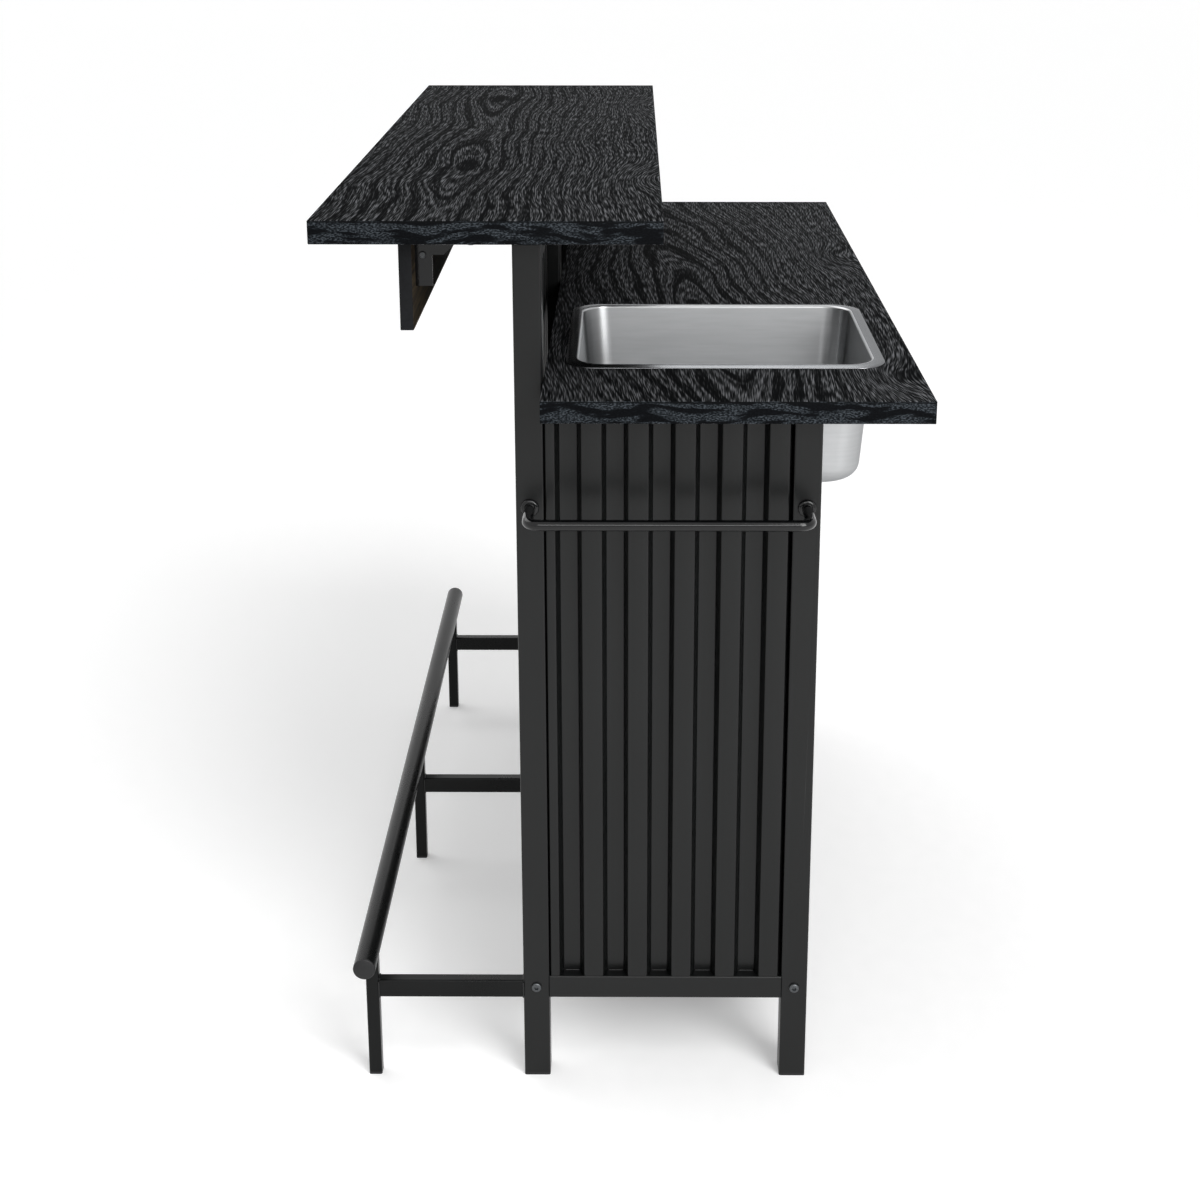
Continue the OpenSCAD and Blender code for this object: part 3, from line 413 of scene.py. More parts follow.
def block(name, low, high):
    """A box between two corners, given in millimetres."""
    bpy.ops.object.select_all(action="DESELECT")
    middle = [(a + b) / 2 * MM for a, b in zip(low, high)]
    size = [(b - a) * MM for a, b in zip(low, high)]
    bpy.ops.mesh.primitive_cube_add(size=1, location=middle, scale=size)
    piece = bpy.context.object
    piece.name = name
    return settle(piece)


def pick(piece, kind, test):
    """Goes into edit mode and selects the faces, edges or vertices that pass the test."""
    if bpy.context.mode != "OBJECT":
        object_mode()
    select_only(piece)
    bpy.ops.object.mode_set(mode="EDIT")
    bpy.ops.mesh.select_mode(type=kind)
    bpy.ops.mesh.select_all(action="DESELECT")
    mesh = bmesh.from_edit_mesh(piece.data)
    for item in {"VERT": mesh.verts, "EDGE": mesh.edges, "FACE": mesh.faces}[kind]:
        item.select_set(test(item))
    bmesh.update_edit_mesh(piece.data)


def object_mode():
    bpy.ops.object.mode_set(mode="OBJECT")


def box_mm(node_name):
    low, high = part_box(node_name)
    return [c / MM for c in low], [c / MM for c in high]


def is_upright(edge):
    """Whether an edge rises by more than a millimetre."""
    a, b = (v.co for v in edge.verts)
    return abs(a.z - b.z) > 1 * MM


def bevel_edges(piece, test, size_mm, steps):
    pick(piece, "EDGE", test)
    bpy.ops.mesh.bevel(offset=size_mm * MM, segments=steps, affect="EDGES")
    object_mode()


def apply_modifier(piece, kind, **settings):
    select_only(piece)
    made = piece.modifiers.new(kind.lower(), kind)
    for key, value in settings.items():
        setattr(made, key, value)
    bpy.ops.object.modifier_apply(modifier=made.name)


def cut_away(piece, cutter):
    apply_modifier(piece, "BOOLEAN", operation="DIFFERENCE", solver="EXACT", object=cutter)
    select_only(cutter)
    bpy.ops.object.delete()


def smooth(piece, degrees=35):
    select_only(piece)
    bpy.ops.object.shade_smooth_by_angle(angle=math.radians(degrees))


def wear(piece, *materials):
    piece.data.materials.clear()
    for material in materials:
        piece.data.materials.append(material)


def place_copy(piece, name, place_mm, turn=(0, 0, 0), mirror_x=False):
    """A copy with its own mesh, turned about the origin, then moved."""
    select_only(piece)
    bpy.ops.object.duplicate()
    made = bpy.context.object
    made.name = name
    made.rotation_euler = [math.radians(a) for a in turn]
    made.location = [c * MM for c in place_mm]
    if mirror_x:
        made.scale.x = -1
    settle(made)
    if mirror_x:
        pick(made, "FACE", lambda face: True)
        bpy.ops.mesh.flip_normals()
        object_mode()
    return made


def discard(piece):
    select_only(piece)
    bpy.ops.object.delete()


def join(name, pieces):
    select_only(*pieces)
    bpy.ops.object.join()
    made = bpy.context.object
    made.name = name
    return made


def hand_over(piece, replaced=(), body="table"):
    """Says which body the piece rides on, which nodes it stands for."""
    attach(piece, body)
    if replaced:
        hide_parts(*replaced)


def turned(name, profile_mm, sides=64):
    """A piece turned about the Z axis: a ring is extruded and resized along the profile, given
    as (radius, height). A radius of zero closes the piece there, and a profile that leaves the
    axis free at both ends is closed on itself."""
    profile = list(profile_mm)
    closed_foot = profile[0][0] == 0
    closed_top = profile[-1][0] == 0
    rings = profile[closed_foot:len(profile) - closed_top]
    bpy.ops.object.select_all(action="DESELECT")
    radius, height = rings[0]
    bpy.ops.mesh.primitive_circle_add(vertices=sides, radius=radius * MM,
                                      location=(0, 0, height * MM))
    piece = bpy.context.object
    piece.name = name
    settle(piece)
    pick(piece, "EDGE", lambda edge: True)
    if closed_foot:
        bpy.ops.mesh.edge_face_add()
        pick(piece, "EDGE", lambda edge: True)
    for next_radius, next_height in rings[1:]:
        bpy.ops.mesh.extrude_edges_move(
            TRANSFORM_OT_translate={"value": (0, 0, (next_height - height) * MM)})
        share = next_radius / radius
        bpy.ops.transform.resize(value=(share, share, 1), center_override=(0, 0, next_height * MM))
        radius, height = next_radius, next_height
    if closed_top:
        bpy.ops.mesh.edge_face_add()
    elif not closed_foot:
        pick(piece, "EDGE", lambda edge: edge.is_boundary)
        bpy.ops.mesh.bridge_edge_loops()
    bpy.ops.mesh.select_all(action="SELECT")
    bpy.ops.mesh.normals_make_consistent(inside=False)
    object_mode()
    return piece


# ---- Boards --------------------------------------------------------------------------------

def board(name, node_name, face_material, side_material, edge_mm=0.8):
    """A laminated board with eased edges: the faces carry the laminate, the sides the band."""
    low, high = box_mm(node_name)
    piece = block(name, low, high)
    bevel_edges(piece, lambda edge: True, edge_mm, 3)
    wear(piece, face_material, side_material)
    return piece


def band_sides(piece):
    for face in piece.data.polygons:
        face.material_index = 0 if abs(face.normal.z) > 0.7 else 1


raised_top = board("raised_top_board", "raised_bar_top", top_laminate, top_band)
band_sides(raised_top)
smooth(raised_top)
hand_over(raised_top, ["raised_bar_top"])

# The worktop's cut-out lies under the sink's rim. Its cutter reaches past both faces.
CUTOUT_INSET = 9
CUTOUT_CORNER = 30
CUTOUT_PAST = 20
sink_low, sink_high = box_mm("sink_bowl")
worktop = board("worktop_board", "worktop", worktop_laminate, worktop_band)
work_low, work_high = box_mm("worktop")
cutter = block("cutter", [sink_low[0] + CUTOUT_INSET, sink_low[1] + CUTOUT_INSET,
                          work_low[2] - CUTOUT_PAST],
               [sink_high[0] - CUTOUT_INSET, sink_high[1] - CUTOUT_INSET,
                work_high[2] + CUTOUT_PAST])
bevel_edges(cutter, is_upright, CUTOUT_CORNER, 12)
cut_away(worktop, cutter)
band_sides(worktop)
smooth(worktop)
hand_over(worktop, ["worktop"])

fascia = board("fascia_panel", "fascia_board", fascia_laminate, shelf_melamine, 0.6)
fascia.data.materials.append(fascia_inside)
for face in fascia.data.polygons:
    face.material_index = 0 if face.normal.y < -0.7 else 2 if face.normal.y > 0.7 else 1
smooth(fascia)
hand_over(fascia, ["fascia_board"])


# ---- Box-profile sheet ---------------------------------------------------------------------

RIB_PITCH = 50
RIB_W = 21.6
# How far a groove's wall leans
RIB_SLANT = 4.6
RIB_DEPTH = 14
SHEET_T = 1
BEND_R = 1.4
# The dark gap beside a post
GAP_W = 2
# The first rib's width, and the number of grooves
END_LEAD = 11.7
GROOVES_END = 5
FRONT_LEAD = 25.3
GROOVES_FRONT = 9


def rib_line(width, lead, grooves, last_strip):
    """The sheet's front line seen from above: (along, depth). It starts and ends part of the
    way down a groove's wall, so a dark gap shows beside each post."""
    floor_depth = RIB_DEPTH - SHEET_T
    wall_slope = floor_depth / RIB_SLANT
    groove = RIB_PITCH - RIB_W
    points = [(0, GAP_W * wall_slope), (GAP_W, 0)]
    for i in range(grooves):
        start = lead + i * RIB_PITCH
        points += [(start, 0), (start + RIB_SLANT, floor_depth),
                   (start + groove - RIB_SLANT, floor_depth), (start + groove, 0)]
    last = points[-1][0] + last_strip
    return points + [(last, 0), (width, (width - last) * wall_slope)]


def folded_sheet(name, line, low_z, high_z):
    """A strip of sheet is extruded along its folds, which are then rounded. It runs along X
    with its ribs' fronts at y = 0 and its grooves at +y."""
    (x0, y0), (x1, y1) = line[0], line[1]
    bpy.ops.object.select_all(action="DESELECT")
    bpy.ops.mesh.primitive_plane_add(
        size=1, location=((x0 + x1) / 2 * MM, 0, (low_z + high_z) / 2 * MM),
        rotation=(math.pi / 2, 0, 0))
    piece = bpy.context.object
    piece.name = name
    piece.scale = ((x1 - x0) * MM, (high_z - low_z) * MM, 1)
    settle(piece)
    pick(piece, "VERT", lambda vert: vert.co.x < (x0 + x1) / 2 * MM)
    bpy.ops.transform.translate(value=(0, (y0 - y1) * MM, 0))
    end = x1 * MM
    pick(piece, "EDGE", lambda edge: all(abs(v.co.x - end) < TOUCH for v in edge.verts))
    for (xa, ya), (xb, yb) in zip(line[1:], line[2:]):
        bpy.ops.mesh.extrude_edges_move(
            TRANSFORM_OT_translate={"value": ((xb - xa) * MM, (yb - ya) * MM, 0)})
    object_mode()
    bevel_edges(piece, lambda edge: is_upright(edge) and not edge.is_boundary, BEND_R, 4)
    pick(piece, "FACE", lambda face: True)
    bpy.ops.mesh.normals_make_consistent(inside=False)
    object_mode()
    faces_guest = piece.data.polygons[0].normal.y < 0
    apply_modifier(piece, "SOLIDIFY", thickness=SHEET_T * MM, offset=-1 if faces_guest else 1,
                   use_even_offset=True)
    smooth(piece, 40)
    wear(piece, satin_powder_coat)
    return piece


end_low, end_high = box_mm("end_panel_sink_end")
end_line = rib_line(end_high[1] - end_low[1], END_LEAD, GROOVES_END, RIB_W)
end_sheet = folded_sheet("end_sheet", end_line, end_low[2], end_high[2])
sink_end_sheet = place_copy(end_sheet, "sink_end_sheet", (end_high[0], end_low[1], 0), (0, 0, 90))
shelf_end_sheet = place_copy(sink_end_sheet, "shelf_end_sheet", (0, 0, 0), mirror_x=True)
discard(end_sheet)
hand_over(sink_end_sheet, ["end_panel_sink_end"])
hand_over(shelf_end_sheet, ["end_panel_shelf_end"])

for bay in ("sink_bay", "shelf_bay"):
    low, high = box_mm("front_panel_" + bay)
    bay_line = rib_line(high[0] - low[0], FRONT_LEAD, GROOVES_FRONT, FRONT_LEAD - GAP_W)
    bay_sheet = folded_sheet("bay_sheet", bay_line, low[2], high[2])
    front_sheet = place_copy(bay_sheet, "front_sheet_" + bay, (low[0], low[1], 0))
    discard(bay_sheet)
    hand_over(front_sheet, ["front_panel_" + bay])


# ---- Round tubes ---------------------------------------------------------------------------

rail_low, rail_high = box_mm("footrail")
rail_r = (rail_high[2] - rail_low[2]) / 2
rail_y = (rail_high[1] + rail_low[1]) / 2
rail_z = (rail_high[2] + rail_low[2]) / 2
rail_l = rail_high[0] - rail_low[0]
RAIL_WALL = 1.5
RAIL_EASE = 0.4
rail_profile = [(rail_r - RAIL_WALL, 0), (rail_r - RAIL_EASE, 0), (rail_r, RAIL_EASE),
                (rail_r, rail_l - RAIL_EASE), (rail_r - RAIL_EASE, rail_l),
                (rail_r - RAIL_WALL, rail_l)]
rail_blank = turned("rail_blank", rail_profile, 72)
foot_tube = place_copy(rail_blank, "footrail_tube", (rail_low[0], rail_y, rail_z), (0, 90, 0))
discard(rail_blank)
smooth(foot_tube)
# The tube gets the coat that paints shade near the floor
wear(foot_tube, rail_coat_painted_shade)
hand_over(foot_tube, ["footrail"])

# An end cap's head, and the plug that holds it in the tube
CAP_T = 2
PLUG_L = 12
plug_r = rail_r - 1.7
cap_profile = [(0, -PLUG_L), (plug_r - 0.6, -PLUG_L), (plug_r, -PLUG_L + 1), (plug_r, 0),
               (rail_r, 0), (rail_r, CAP_T * 0.4), (rail_r - 0.4, CAP_T * 0.75),
               (rail_r - 1.2, CAP_T), (0, CAP_T)]
cap_blank = turned("cap_blank", cap_profile, 72)
smooth(cap_blank)
wear(cap_blank, moulded_plastic)
caps = [place_copy(cap_blank, "cap", (rail_high[0], rail_y, rail_z), (0, 90, 0)),
        place_copy(cap_blank, "cap", (rail_low[0], rail_y, rail_z), (0, -90, 0))]
discard(cap_blank)
hand_over(join("footrail_end_caps", caps), ["footrail_caps"])

# The towel bar: a ring of the bar's section is drawn out of the post, bent, run along the
# frame's end, bent again and drawn back
bar_low, bar_high = box_mm("towel_bar")
flange_low, flange_high = box_mm("towel_bar_flanges")
TOWEL_R = 6
TOWEL_BEND = 13
BEND_STEPS = 14
bar_z = (bar_low[2] + bar_high[2]) / 2
bar_x = bar_high[0] - TOWEL_R
bend_start = bar_x - TOWEL_BEND
front_leg_y = bar_low[1] + TOWEL_R
rear_leg_y = bar_high[1] - TOWEL_R
bpy.ops.object.select_all(action="DESELECT")
bpy.ops.mesh.primitive_circle_add(vertices=40, radius=TOWEL_R * MM, rotation=(0, math.pi / 2, 0),
                                  location=(bar_low[0] * MM, front_leg_y * MM, bar_z * MM))
towel_rail = bpy.context.object
towel_rail.name = "towel_rail"
settle(towel_rail)
pick(towel_rail, "EDGE", lambda edge: True)
bpy.ops.mesh.extrude_edges_move(
    TRANSFORM_OT_translate={"value": ((bend_start - bar_low[0]) * MM, 0, 0)})
bpy.ops.mesh.spin(steps=BEND_STEPS, angle=-math.pi / 2, axis=(0, 0, 1),
                  center=(bend_start * MM, (front_leg_y + TOWEL_BEND) * MM, bar_z * MM))
bpy.ops.mesh.extrude_edges_move(
    TRANSFORM_OT_translate={"value": (0, (rear_leg_y - front_leg_y - 2 * TOWEL_BEND) * MM, 0)})
bpy.ops.mesh.spin(steps=BEND_STEPS, angle=-math.pi / 2, axis=(0, 0, 1),
                  center=(bend_start * MM, (rear_leg_y - TOWEL_BEND) * MM, bar_z * MM))
bpy.ops.mesh.extrude_edges_move(
    TRANSFORM_OT_translate={"value": ((bar_low[0] - bend_start) * MM, 0, 0)})
pick(towel_rail, "EDGE", lambda edge: edge.is_boundary)
bpy.ops.mesh.edge_face_add()
bpy.ops.mesh.select_all(action="SELECT")
bpy.ops.mesh.remove_doubles(threshold=TOUCH)
bpy.ops.mesh.normals_make_consistent(inside=False)
object_mode()
smooth(towel_rail)
wear(towel_rail, gloss_powder_coat)
hand_over(towel_rail, ["towel_bar"])

flange_r = (flange_high[2] - flange_low[2]) / 2
flange_t = flange_high[0] - flange_low[0]
flange_hole_r = TOWEL_R + 0.1
flange_profile = [(flange_hole_r, 0), (flange_r, 0), (flange_r, flange_t * 0.35),
                  (flange_r - 0.4, flange_t * 0.6), (flange_r - 1.4, flange_t * 0.85),
                  (flange_r - 2.6, flange_t), (flange_hole_r, flange_t)]
flange_blank = turned("flange_blank", flange_profile, 64)
smooth(flange_blank)
wear(flange_blank, gloss_powder_coat)
flanges = [place_copy(flange_blank, "flange", (flange_low[0], y, bar_z), (0, 90, 0))
           for y in (front_leg_y, rear_leg_y)]
discard(flange_blank)
hand_over(join("towel_rail_flanges", flanges), ["towel_bar_flanges"])


# ---- Sink ----------------------------------------------------------------------------------

SINK_T = 1
SINK_CORNER = 34
# The rim's width and rise, and the radius of the roll at the bowl's mouth
RIM_W = 14
RIM_RISE = 2.4
EDGE_ROLL = 2.6
ROLL_STEPS = 8
# The bowl's walls lean in by the draft, and a fillet joins them to its bottom
BOWL_DEPTH = 140
DRAFT = math.radians(4.5)
BOWL_FILLET = 24
FILLET_STEPS = 10
DRAIN_R = 27
sink_x = (sink_low[0] + sink_high[0]) / 2
sink_y = (sink_low[1] + sink_high[1]) / 2
sink_half = [(sink_high[i] - sink_low[i]) / 2 for i in (0, 1)]
work_h = work_high[2]


def bowl_line():
    """The sheet's upper side, as (inset from the rim's edge, height over the worktop). The rim
    slopes up from the worktop to the roll at the bowl's mouth."""
    points = [(0.1, 0.05), (0.1, 0.9), (0.25, 1.2), (0.7, 1.4), (4, 1.7), (8, 2.08)]
    for k in range(ROLL_STEPS + 1):
        a = math.radians(90 * k / ROLL_STEPS)
        points.append((RIM_W - EDGE_ROLL + EDGE_ROLL * math.sin(a),
                       RIM_RISE - EDGE_ROLL + EDGE_ROLL * math.cos(a)))
    wall_foot = -BOWL_DEPTH + BOWL_FILLET * (1 - math.sin(DRAFT))
    foot_inset = RIM_W + (RIM_RISE - EDGE_ROLL - wall_foot) * math.tan(DRAFT)
    middle_inset = foot_inset + BOWL_FILLET * math.cos(DRAFT)
    for share in (0.33, 0.66):
        points.append((RIM_W + (foot_inset - RIM_W) * share,
                       (RIM_RISE - EDGE_ROLL) * (1 - share) + wall_foot * share))
    for k in range(FILLET_STEPS + 1):
        a = DRAFT + (math.pi / 2 - DRAFT) * k / FILLET_STEPS
        points.append((middle_inset - BOWL_FILLET * math.cos(a),
                       -BOWL_DEPTH + BOWL_FILLET * (1 - math.sin(a))))
    return points


line = bowl_line()
bpy.ops.object.select_all(action="DESELECT")
inset, height = line[0]
bpy.ops.mesh.primitive_plane_add(size=2, location=(0, 0, height * MM))
sink = bpy.context.object
sink.name = "pressed_sink"
sink.scale = ((sink_half[0] - inset) * MM, (sink_half[1] - inset) * MM, 1)
settle(sink)
pick(sink, "VERT", lambda vert: True)
bpy.ops.mesh.bevel(offset=SINK_CORNER * MM, segments=14, affect="VERTICES")
bpy.ops.mesh.select_mode(type="FACE")
bpy.ops.mesh.select_all(action="SELECT")
bpy.ops.mesh.delete(type="ONLY_FACE")
bpy.ops.mesh.select_mode(type="EDGE")
bpy.ops.mesh.select_all(action="SELECT")
bpy.ops.mesh.subdivide(number_cuts=0)
for next_inset, next_height in line[1:]:
    bpy.ops.mesh.extrude_edges_move(
        TRANSFORM_OT_translate={"value": (0, 0, (next_height - height) * MM)})
    share = [(half - next_inset) / (half - inset) for half in sink_half]
    bpy.ops.transform.resize(value=(*share, 1), center_override=(0, 0, next_height * MM))
    inset, height = next_inset, next_height
# The flat bottom falls in to the round drain hole
floor_ring = height * MM
bpy.ops.mesh.select_all(action="DESELECT")
bpy.ops.mesh.primitive_circle_add(vertices=60, radius=DRAIN_R * MM, location=(0, 0, floor_ring))
object_mode()
pick(sink, "EDGE", lambda edge: len(edge.link_faces) < 2
     and all(abs(v.co.z - floor_ring) < TOUCH for v in edge.verts))
bpy.ops.mesh.bridge_edge_loops()
bpy.ops.mesh.select_all(action="SELECT")
bpy.ops.mesh.normals_make_consistent(inside=False)
object_mode()
sink.location = (sink_x * MM, sink_y * MM, work_h * MM)
settle(sink)
rim_up = max(sink.data.polygons, key=lambda face: face.center.z).normal.z > 0
apply_modifier(sink, "SOLIDIFY", thickness=SINK_T * MM, offset=-1 if rim_up else 1)
smooth(sink, 50)
wear(sink, satin_bowl, rim_steel_painted_dark)
# The rim's face is what slopes outwards over the worktop, and it gets the darker steel that paints
# a dark reflection
for face in sink.data.polygons:
    out_x, out_y = face.center.x - sink_x * MM, face.center.y - sink_y * MM
    slopes_out = face.normal.x * out_x + face.normal.y * out_y > 0 and face.normal.z > -0.1
    face.material_index = 1 if slopes_out and face.center.z > work_h * MM else 0
hand_over(sink, ["sink_bowl"])


# ---- Drain ---------------------------------------------------------------------------------

FLANGE_R = 39
CUP_R = 26.6
CUP_DEPTH = 42
NECK_R = 21
DRAIN_WALL = 2
seat_z = work_h - BOWL_DEPTH
cup_floor = seat_z - CUP_DEPTH
neck_end = box_mm("drain_body")[0][2]
cup_in = CUP_R - DRAIN_WALL


def on_drain(blank, name, material, node_name, body="table"):
    """Smooths a turned blank, gives it its finish and moves it to the drain's axis."""
    smooth(blank)
    wear(blank, material)
    made = place_copy(blank, name, (sink_x, sink_y, 0))
    discard(blank)
    hand_over(made, [node_name], body)


body_blank = turned("blank", [
    (cup_in, seat_z - 1.2), (cup_in + 0.5, seat_z + 0.6), (cup_in + 2, seat_z + 1.6),
    (cup_in + 5, seat_z + 2), (FLANGE_R - 4, seat_z + 2), (FLANGE_R - 1.5, seat_z + 1.6),
    (FLANGE_R - 0.4, seat_z + 0.9), (FLANGE_R, seat_z + 0.1), (CUP_R, seat_z),
    (CUP_R, cup_floor + 2), (CUP_R - 0.6, cup_floor - 1), (CUP_R - 2.4, cup_floor - 2),
    (NECK_R, cup_floor - 2.2), (NECK_R, neck_end), (NECK_R - DRAIN_WALL, neck_end),
    (NECK_R - DRAIN_WALL, cup_floor), (cup_in, cup_floor)], 80)
on_drain(body_blank, "drain_cup", turned_steel, "drain_body")

tail_low, tail_high = box_mm("tailpiece")
TAIL_R = 19
tail_blank = turned("blank", [
    (TAIL_R - DRAIN_WALL, tail_low[2]), (TAIL_R - 0.4, tail_low[2]), (TAIL_R, tail_low[2] + 0.5),
    (TAIL_R, tail_high[2] - 2.6), (TAIL_R + 1.2, tail_high[2] - 2),
    (NECK_R - 0.2, tail_high[2] - 1.4), (NECK_R - 0.2, tail_high[2]),
    (TAIL_R - DRAIN_WALL, tail_high[2])], 72)
on_drain(tail_blank, "drain_tailpiece", turned_steel, "tailpiece")

# The stopper slides in the cup. A rubber lip would hide under its cap.
STOPPER_R = 22
KNOB_R = 8
STEM_R = 3.5
cap_z = seat_z + 2.3
cap_r = cup_in + 4
stopper_blank = turned("blank", [
    (0, cap_z - 10), (STOPPER_R - 2.6, cap_z - 10), (STOPPER_R - 0.8, cap_z - 9.4),
    (STOPPER_R, cap_z - 8), (STOPPER_R, cap_z), (cap_r - 0.5, cap_z), (cap_r, cap_z + 0.3),
    (cap_r - 0.3, cap_z + 0.9), (cap_r * 0.85, cap_z + 1.5), (cap_r * 0.6, cap_z + 2.1),
    (STEM_R + 3, cap_z + 2.5), (STEM_R + 0.8, cap_z + 3), (STEM_R, cap_z + 4.2),
    (STEM_R, cap_z + 8), (STEM_R + 0.8, cap_z + 9.4), (KNOB_R - 1.6, cap_z + 10.5),
    (KNOB_R - 0.2, cap_z + 11.4), (KNOB_R, cap_z + 12.4), (KNOB_R - 0.4, cap_z + 13.7),
    (KNOB_R - 1.6, cap_z + 14.6), (KNOB_R - 3.4, cap_z + 15), (0, cap_z + 15)], 72)
on_drain(stopper_blank, "lift_out_stopper", turned_steel, "drain_stopper",
         "stopper")


# ---- Bolts and welds -----------------------------------------------------------------------

# Button-head bolts with hex sockets hold the long rails between the end posts
HEAD_R = 5.75
HEAD_H = 3.2
BOLT_R = 3
BOLT_L = 50
SOCKET_R = 2.7
SOCKET_DEPTH = 2.2
CUTTER_H = 4
bolt_blank = turned("bolt_blank", [
    (0, -BOLT_L), (BOLT_R - 0.8, -BOLT_L), (BOLT_R, -BOLT_L + 0.8), (BOLT_R, 0), (HEAD_R, 0),
    (HEAD_R, HEAD_H * 0.4), (HEAD_R * 0.97, HEAD_H * 0.62), (HEAD_R * 0.9, HEAD_H * 0.82),
    (HEAD_R * 0.8, HEAD_H * 0.94), (HEAD_R * 0.68, HEAD_H), (0, HEAD_H)], 48)
bpy.ops.object.select_all(action="DESELECT")
bpy.ops.mesh.primitive_cylinder_add(
    vertices=6, radius=SOCKET_R * MM, depth=CUTTER_H * MM,
    location=(0, 0, (HEAD_H - SOCKET_DEPTH + CUTTER_H / 2) * MM))
cut_away(bolt_blank, settle(bpy.context.object))
smooth(bolt_blank)
wear(bolt_blank, bolt_zinc)
bolts_low, bolts_high = box_mm("frame_bolts")
post_ys = [sum(corner[1] for corner in box_mm(row + "_post_sink_end")) / 2
           for row in ("front", "rear")]
bolt_x = bolts_high[0] - HEAD_H
low_z = bolts_low[2] + HEAD_R
# One at the foot of each end post, and one at the top of the shelf end's rear post
places = [(side, y, low_z) for side in (1, -1) for y in post_ys]
places.append((-1, post_ys[1], bolts_high[2] - HEAD_R))
bolts = [place_copy(bolt_blank, "bolt", (side * bolt_x, y, z), (0, 90 * side, 0))
         for side, y, z in places]
discard(bolt_blank)
hand_over(join("frame_bolt_set", bolts), ["frame_bolts"])

# The turn that lays a piece made upright along an axis
ALONG = {"x": (0, 90, 0), "y": (-90, 0, 0), "z": (0, 0, 0)}
WELD_RIPPLE = 1.5


def weld_bead(axis, length, start, radius):
    """A weld bead laid along one axis from a starting point. Its ripples thin it by a fifth, and
    its ends taper to a point."""
    count = max(4, round(length / WELD_RIPPLE))
    rings = [(0, 0)]
    for i in range(count + 1):
        rings.append((radius * (0.8 + 0.2 * (i % 2)), length * (0.04 + 0.92 * i / count)))
    rings.append((0, length))
    blank = turned("bead_blank", rings, 10)
    smooth(blank, 60)
    bead = place_copy(blank, "bead", start, ALONG[axis])
    discard(blank)
    return bead


# Bead radii: along a crossbar's end, up its sides, and at the sheets' feet
FLAT_BEAD_R = 1.5
SIDE_BEAD_R = 1.1
FOOT_BEAD_R = 1.2
# A bead stops this far before the corner
BEAD_INSET = 1
FRAMES = ("sink_end", "middle", "shelf_end")
beads = []
for place_name in FRAMES:
    low, high = box_mm("crossbar_" + place_name)
    for y in (low[1], high[1]):
        for z in (low[2], high[2]):
            beads.append(weld_bead("x", high[0] - low[0] - 2 * BEAD_INSET,
                                   (low[0] + BEAD_INSET, y, z), FLAT_BEAD_R))
        for x in (low[0], high[0]):
            beads.append(weld_bead("z", high[2] - low[2] - 2 * BEAD_INSET,
                                   (x, y, low[2] + BEAD_INSET), SIDE_BEAD_R))
# Each groove of the end sheets is welded to the rail at its foot
foot_z = end_low[2]
foot_bead_l = RIB_PITCH - RIB_W - 2 * RIB_SLANT - 2 * BEAD_INSET
for side in (1, -1):
    floor_x = side * (end_high[0] - RIB_DEPTH + SHEET_T)
    for i in range(GROOVES_END):
        start_y = end_low[1] + END_LEAD + i * RIB_PITCH + RIB_SLANT + BEAD_INSET
        beads.append(weld_bead("y", foot_bead_l, (floor_x, start_y, foot_z), FOOT_BEAD_R))
welds = join("frame_welds", beads)
wear(welds, gloss_powder_coat)
hand_over(welds)


# ---- Shelves -------------------------------------------------------------------------------

# Each shelf is notched round the posts that it meets
POSTS = [row + "_post_" + place_name for row in ("front", "rear") for place_name in FRAMES]
NOTCH_GAP = 0.5
NOTCH_PAST = 5
for node_name in ("bottom_shelf", "middle_shelf"):
    shelf = board(node_name + "_board", node_name, shelf_melamine, shelf_melamine, 0.7)
    low, high = box_mm(node_name)
    for post in POSTS:
        post_low, post_high = box_mm(post)
        cut_away(shelf, block("notch", [post_low[0] - NOTCH_GAP, post_low[1] - NOTCH_GAP,
                                        low[2] - NOTCH_PAST],
                              [post_high[0] + NOTCH_GAP, post_high[1] + NOTCH_GAP,
                               high[2] + NOTCH_PAST]))
    smooth(shelf)
    hand_over(shelf, [node_name])


# ---- Stage, light and camera ---------------------------------------------------------------

def seen_directly(tree):
    """1 for rays from the camera, off glossy surfaces and through clear ones, else 0."""
    path = add(tree, "LightPath").node.outputs
    seen = add(tree, "Math", path["Is Camera Ray"], path["Is Glossy Ray"], operation="MAXIMUM")
    return add(tree, "Math", seen, path["Is Transmission Ray"], operation="MAXIMUM")


# The world is white where it is seen, and lights the table at this strength
FILL = 0.40
world = bpy.data.worlds.new("studio")
bpy.context.scene.world = world
world.use_nodes = True
sky = world.node_tree
sky.nodes["Background"].inputs["Color"].default_value = (1, 1, 1, 1)
sky.links.new(add(sky, "MapRange", seen_directly(sky), 0.0, 1.0, FILL, 1.0),
              sky.nodes["Background"].inputs["Strength"])

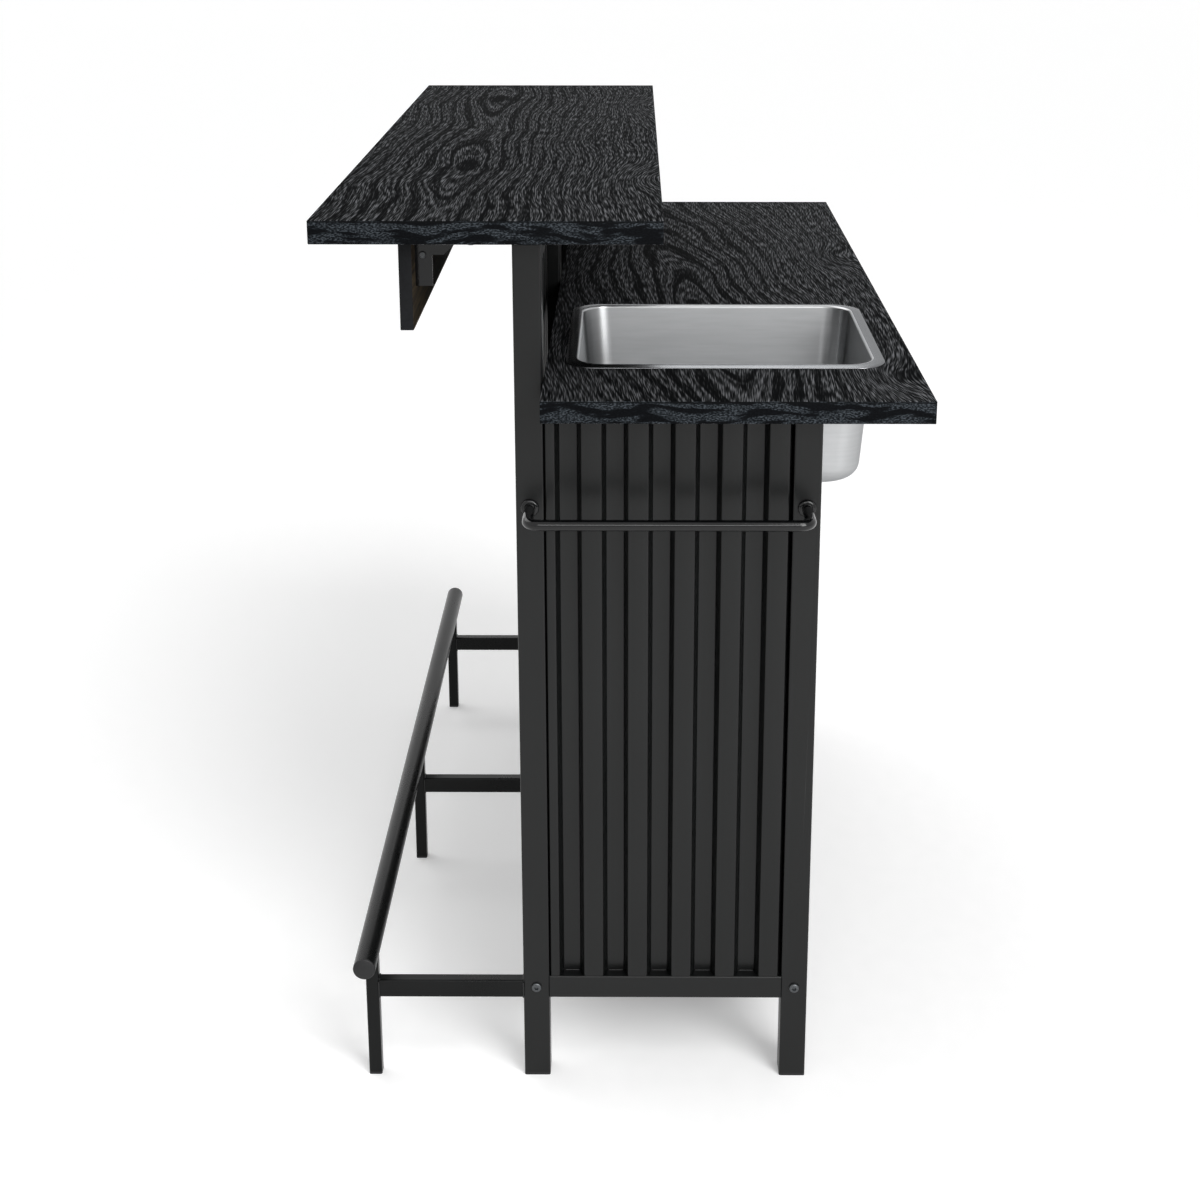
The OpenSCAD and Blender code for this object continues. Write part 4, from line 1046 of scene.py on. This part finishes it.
# White paper floor: it keeps the table's shadow, and glows a little so that it stays white
FLOOR_SIZE_M = 60
FLOOR_DROP = 0.2
FLOOR_GLOW = 0.26
bpy.ops.object.select_all(action="DESELECT")
bpy.ops.mesh.primitive_plane_add(size=FLOOR_SIZE_M, location=(0, 0, -FLOOR_DROP * MM))
floor = bpy.context.object
floor.name = "studio_floor"
paper, paper_tree, paper_place = start_finish("studio_paper")
fibre = add(paper_tree, "TexNoise", Vector=paper_place, Scale=40.0)
white = add(paper_tree, "ValToRGB", fibre, stops=[(0.3, "#eaeaea"), (0.7, "#eeeeee")])
glow = add(paper_tree, "MapRange", seen_directly(paper_tree), 0.0, 1.0, 0.0, FLOOR_GLOW)
end_finish(paper, add(paper_tree, "BsdfPrincipled", Base_Color=white, Roughness=0.9,
                      Specular_IOR_Level=0.1, Emission_Color=(1, 1, 1, 1), Emission_Strength=glow))
floor.data.materials.append(paper)


def lamp(name, kind, place, aim, **settings):
    """A lamp that stands at one place and shines at another, both in metres."""
    light = bpy.data.lights.new(name, kind)
    for key, value in settings.items():
        setattr(light, key, value)
    holder = bpy.data.objects.new(name, light)
    bpy.context.scene.collection.objects.link(holder)
    holder.location = place
    holder.rotation_euler = (Vector(aim) - Vector(place)).to_track_quat("-Z", "Y").to_euler()


MIDDLE = (0, 0, 0.6)
# Two wide suns for plain light from above
lamp("key_sky", "SUN", (3.0, 1.9, 4.4), MIDDLE, energy=1.2, angle=math.radians(30))
lamp("back_sky", "SUN", (-2.0, -2.4, 3.8), MIDDLE, energy=0.8, angle=math.radians(50))
# Three that show in the steel: a strip over the camera for the bowl's far wall, a box beside
# it for the bowl's corner, and a box over the far end for the rim
lamp("front_softbox", "AREA", (3.1, 0.0, 1.85), MIDDLE, energy=13, shape="RECTANGLE",
     size=1.5, size_y=0.35)
lamp("side_softbox", "AREA", (2.8, 1.6, 1.7), MIDDLE, energy=42, shape="RECTANGLE",
     size=1.4, size_y=1.2)
lamp("far_softbox", "AREA", (-2.1, 0.15, 2.55), (0.4, 0.1, 0.84), energy=9, shape="RECTANGLE",
     size=1.0, size_y=0.9)

# The photograph looks level with a strongly shifted lens. This camera looks down by 16 degrees
# instead, and keeps a small shift, so that the same camera frames the table in other views.
# Its place is in metres and its turns are in radians.
CAMERA_PLACE = (2.5147, 0.0077, 1.3630)
CAMERA_PITCH = 0.2843
CAMERA_YAW = 0.0053
camera_data = bpy.data.cameras.new("photo_camera")
camera_data.lens = 58.96
camera_data.shift_x = -0.0195
camera_data.shift_y = -0.14
camera = bpy.data.objects.new("photo_camera", camera_data)
bpy.context.scene.collection.objects.link(camera)
camera.location = CAMERA_PLACE
camera.rotation_euler = Euler((math.pi / 2 - CAMERA_PITCH, 0, math.pi / 2 + CAMERA_YAW))
bpy.context.scene.camera = camera
bpy.context.scene.view_settings.view_transform = "Standard"
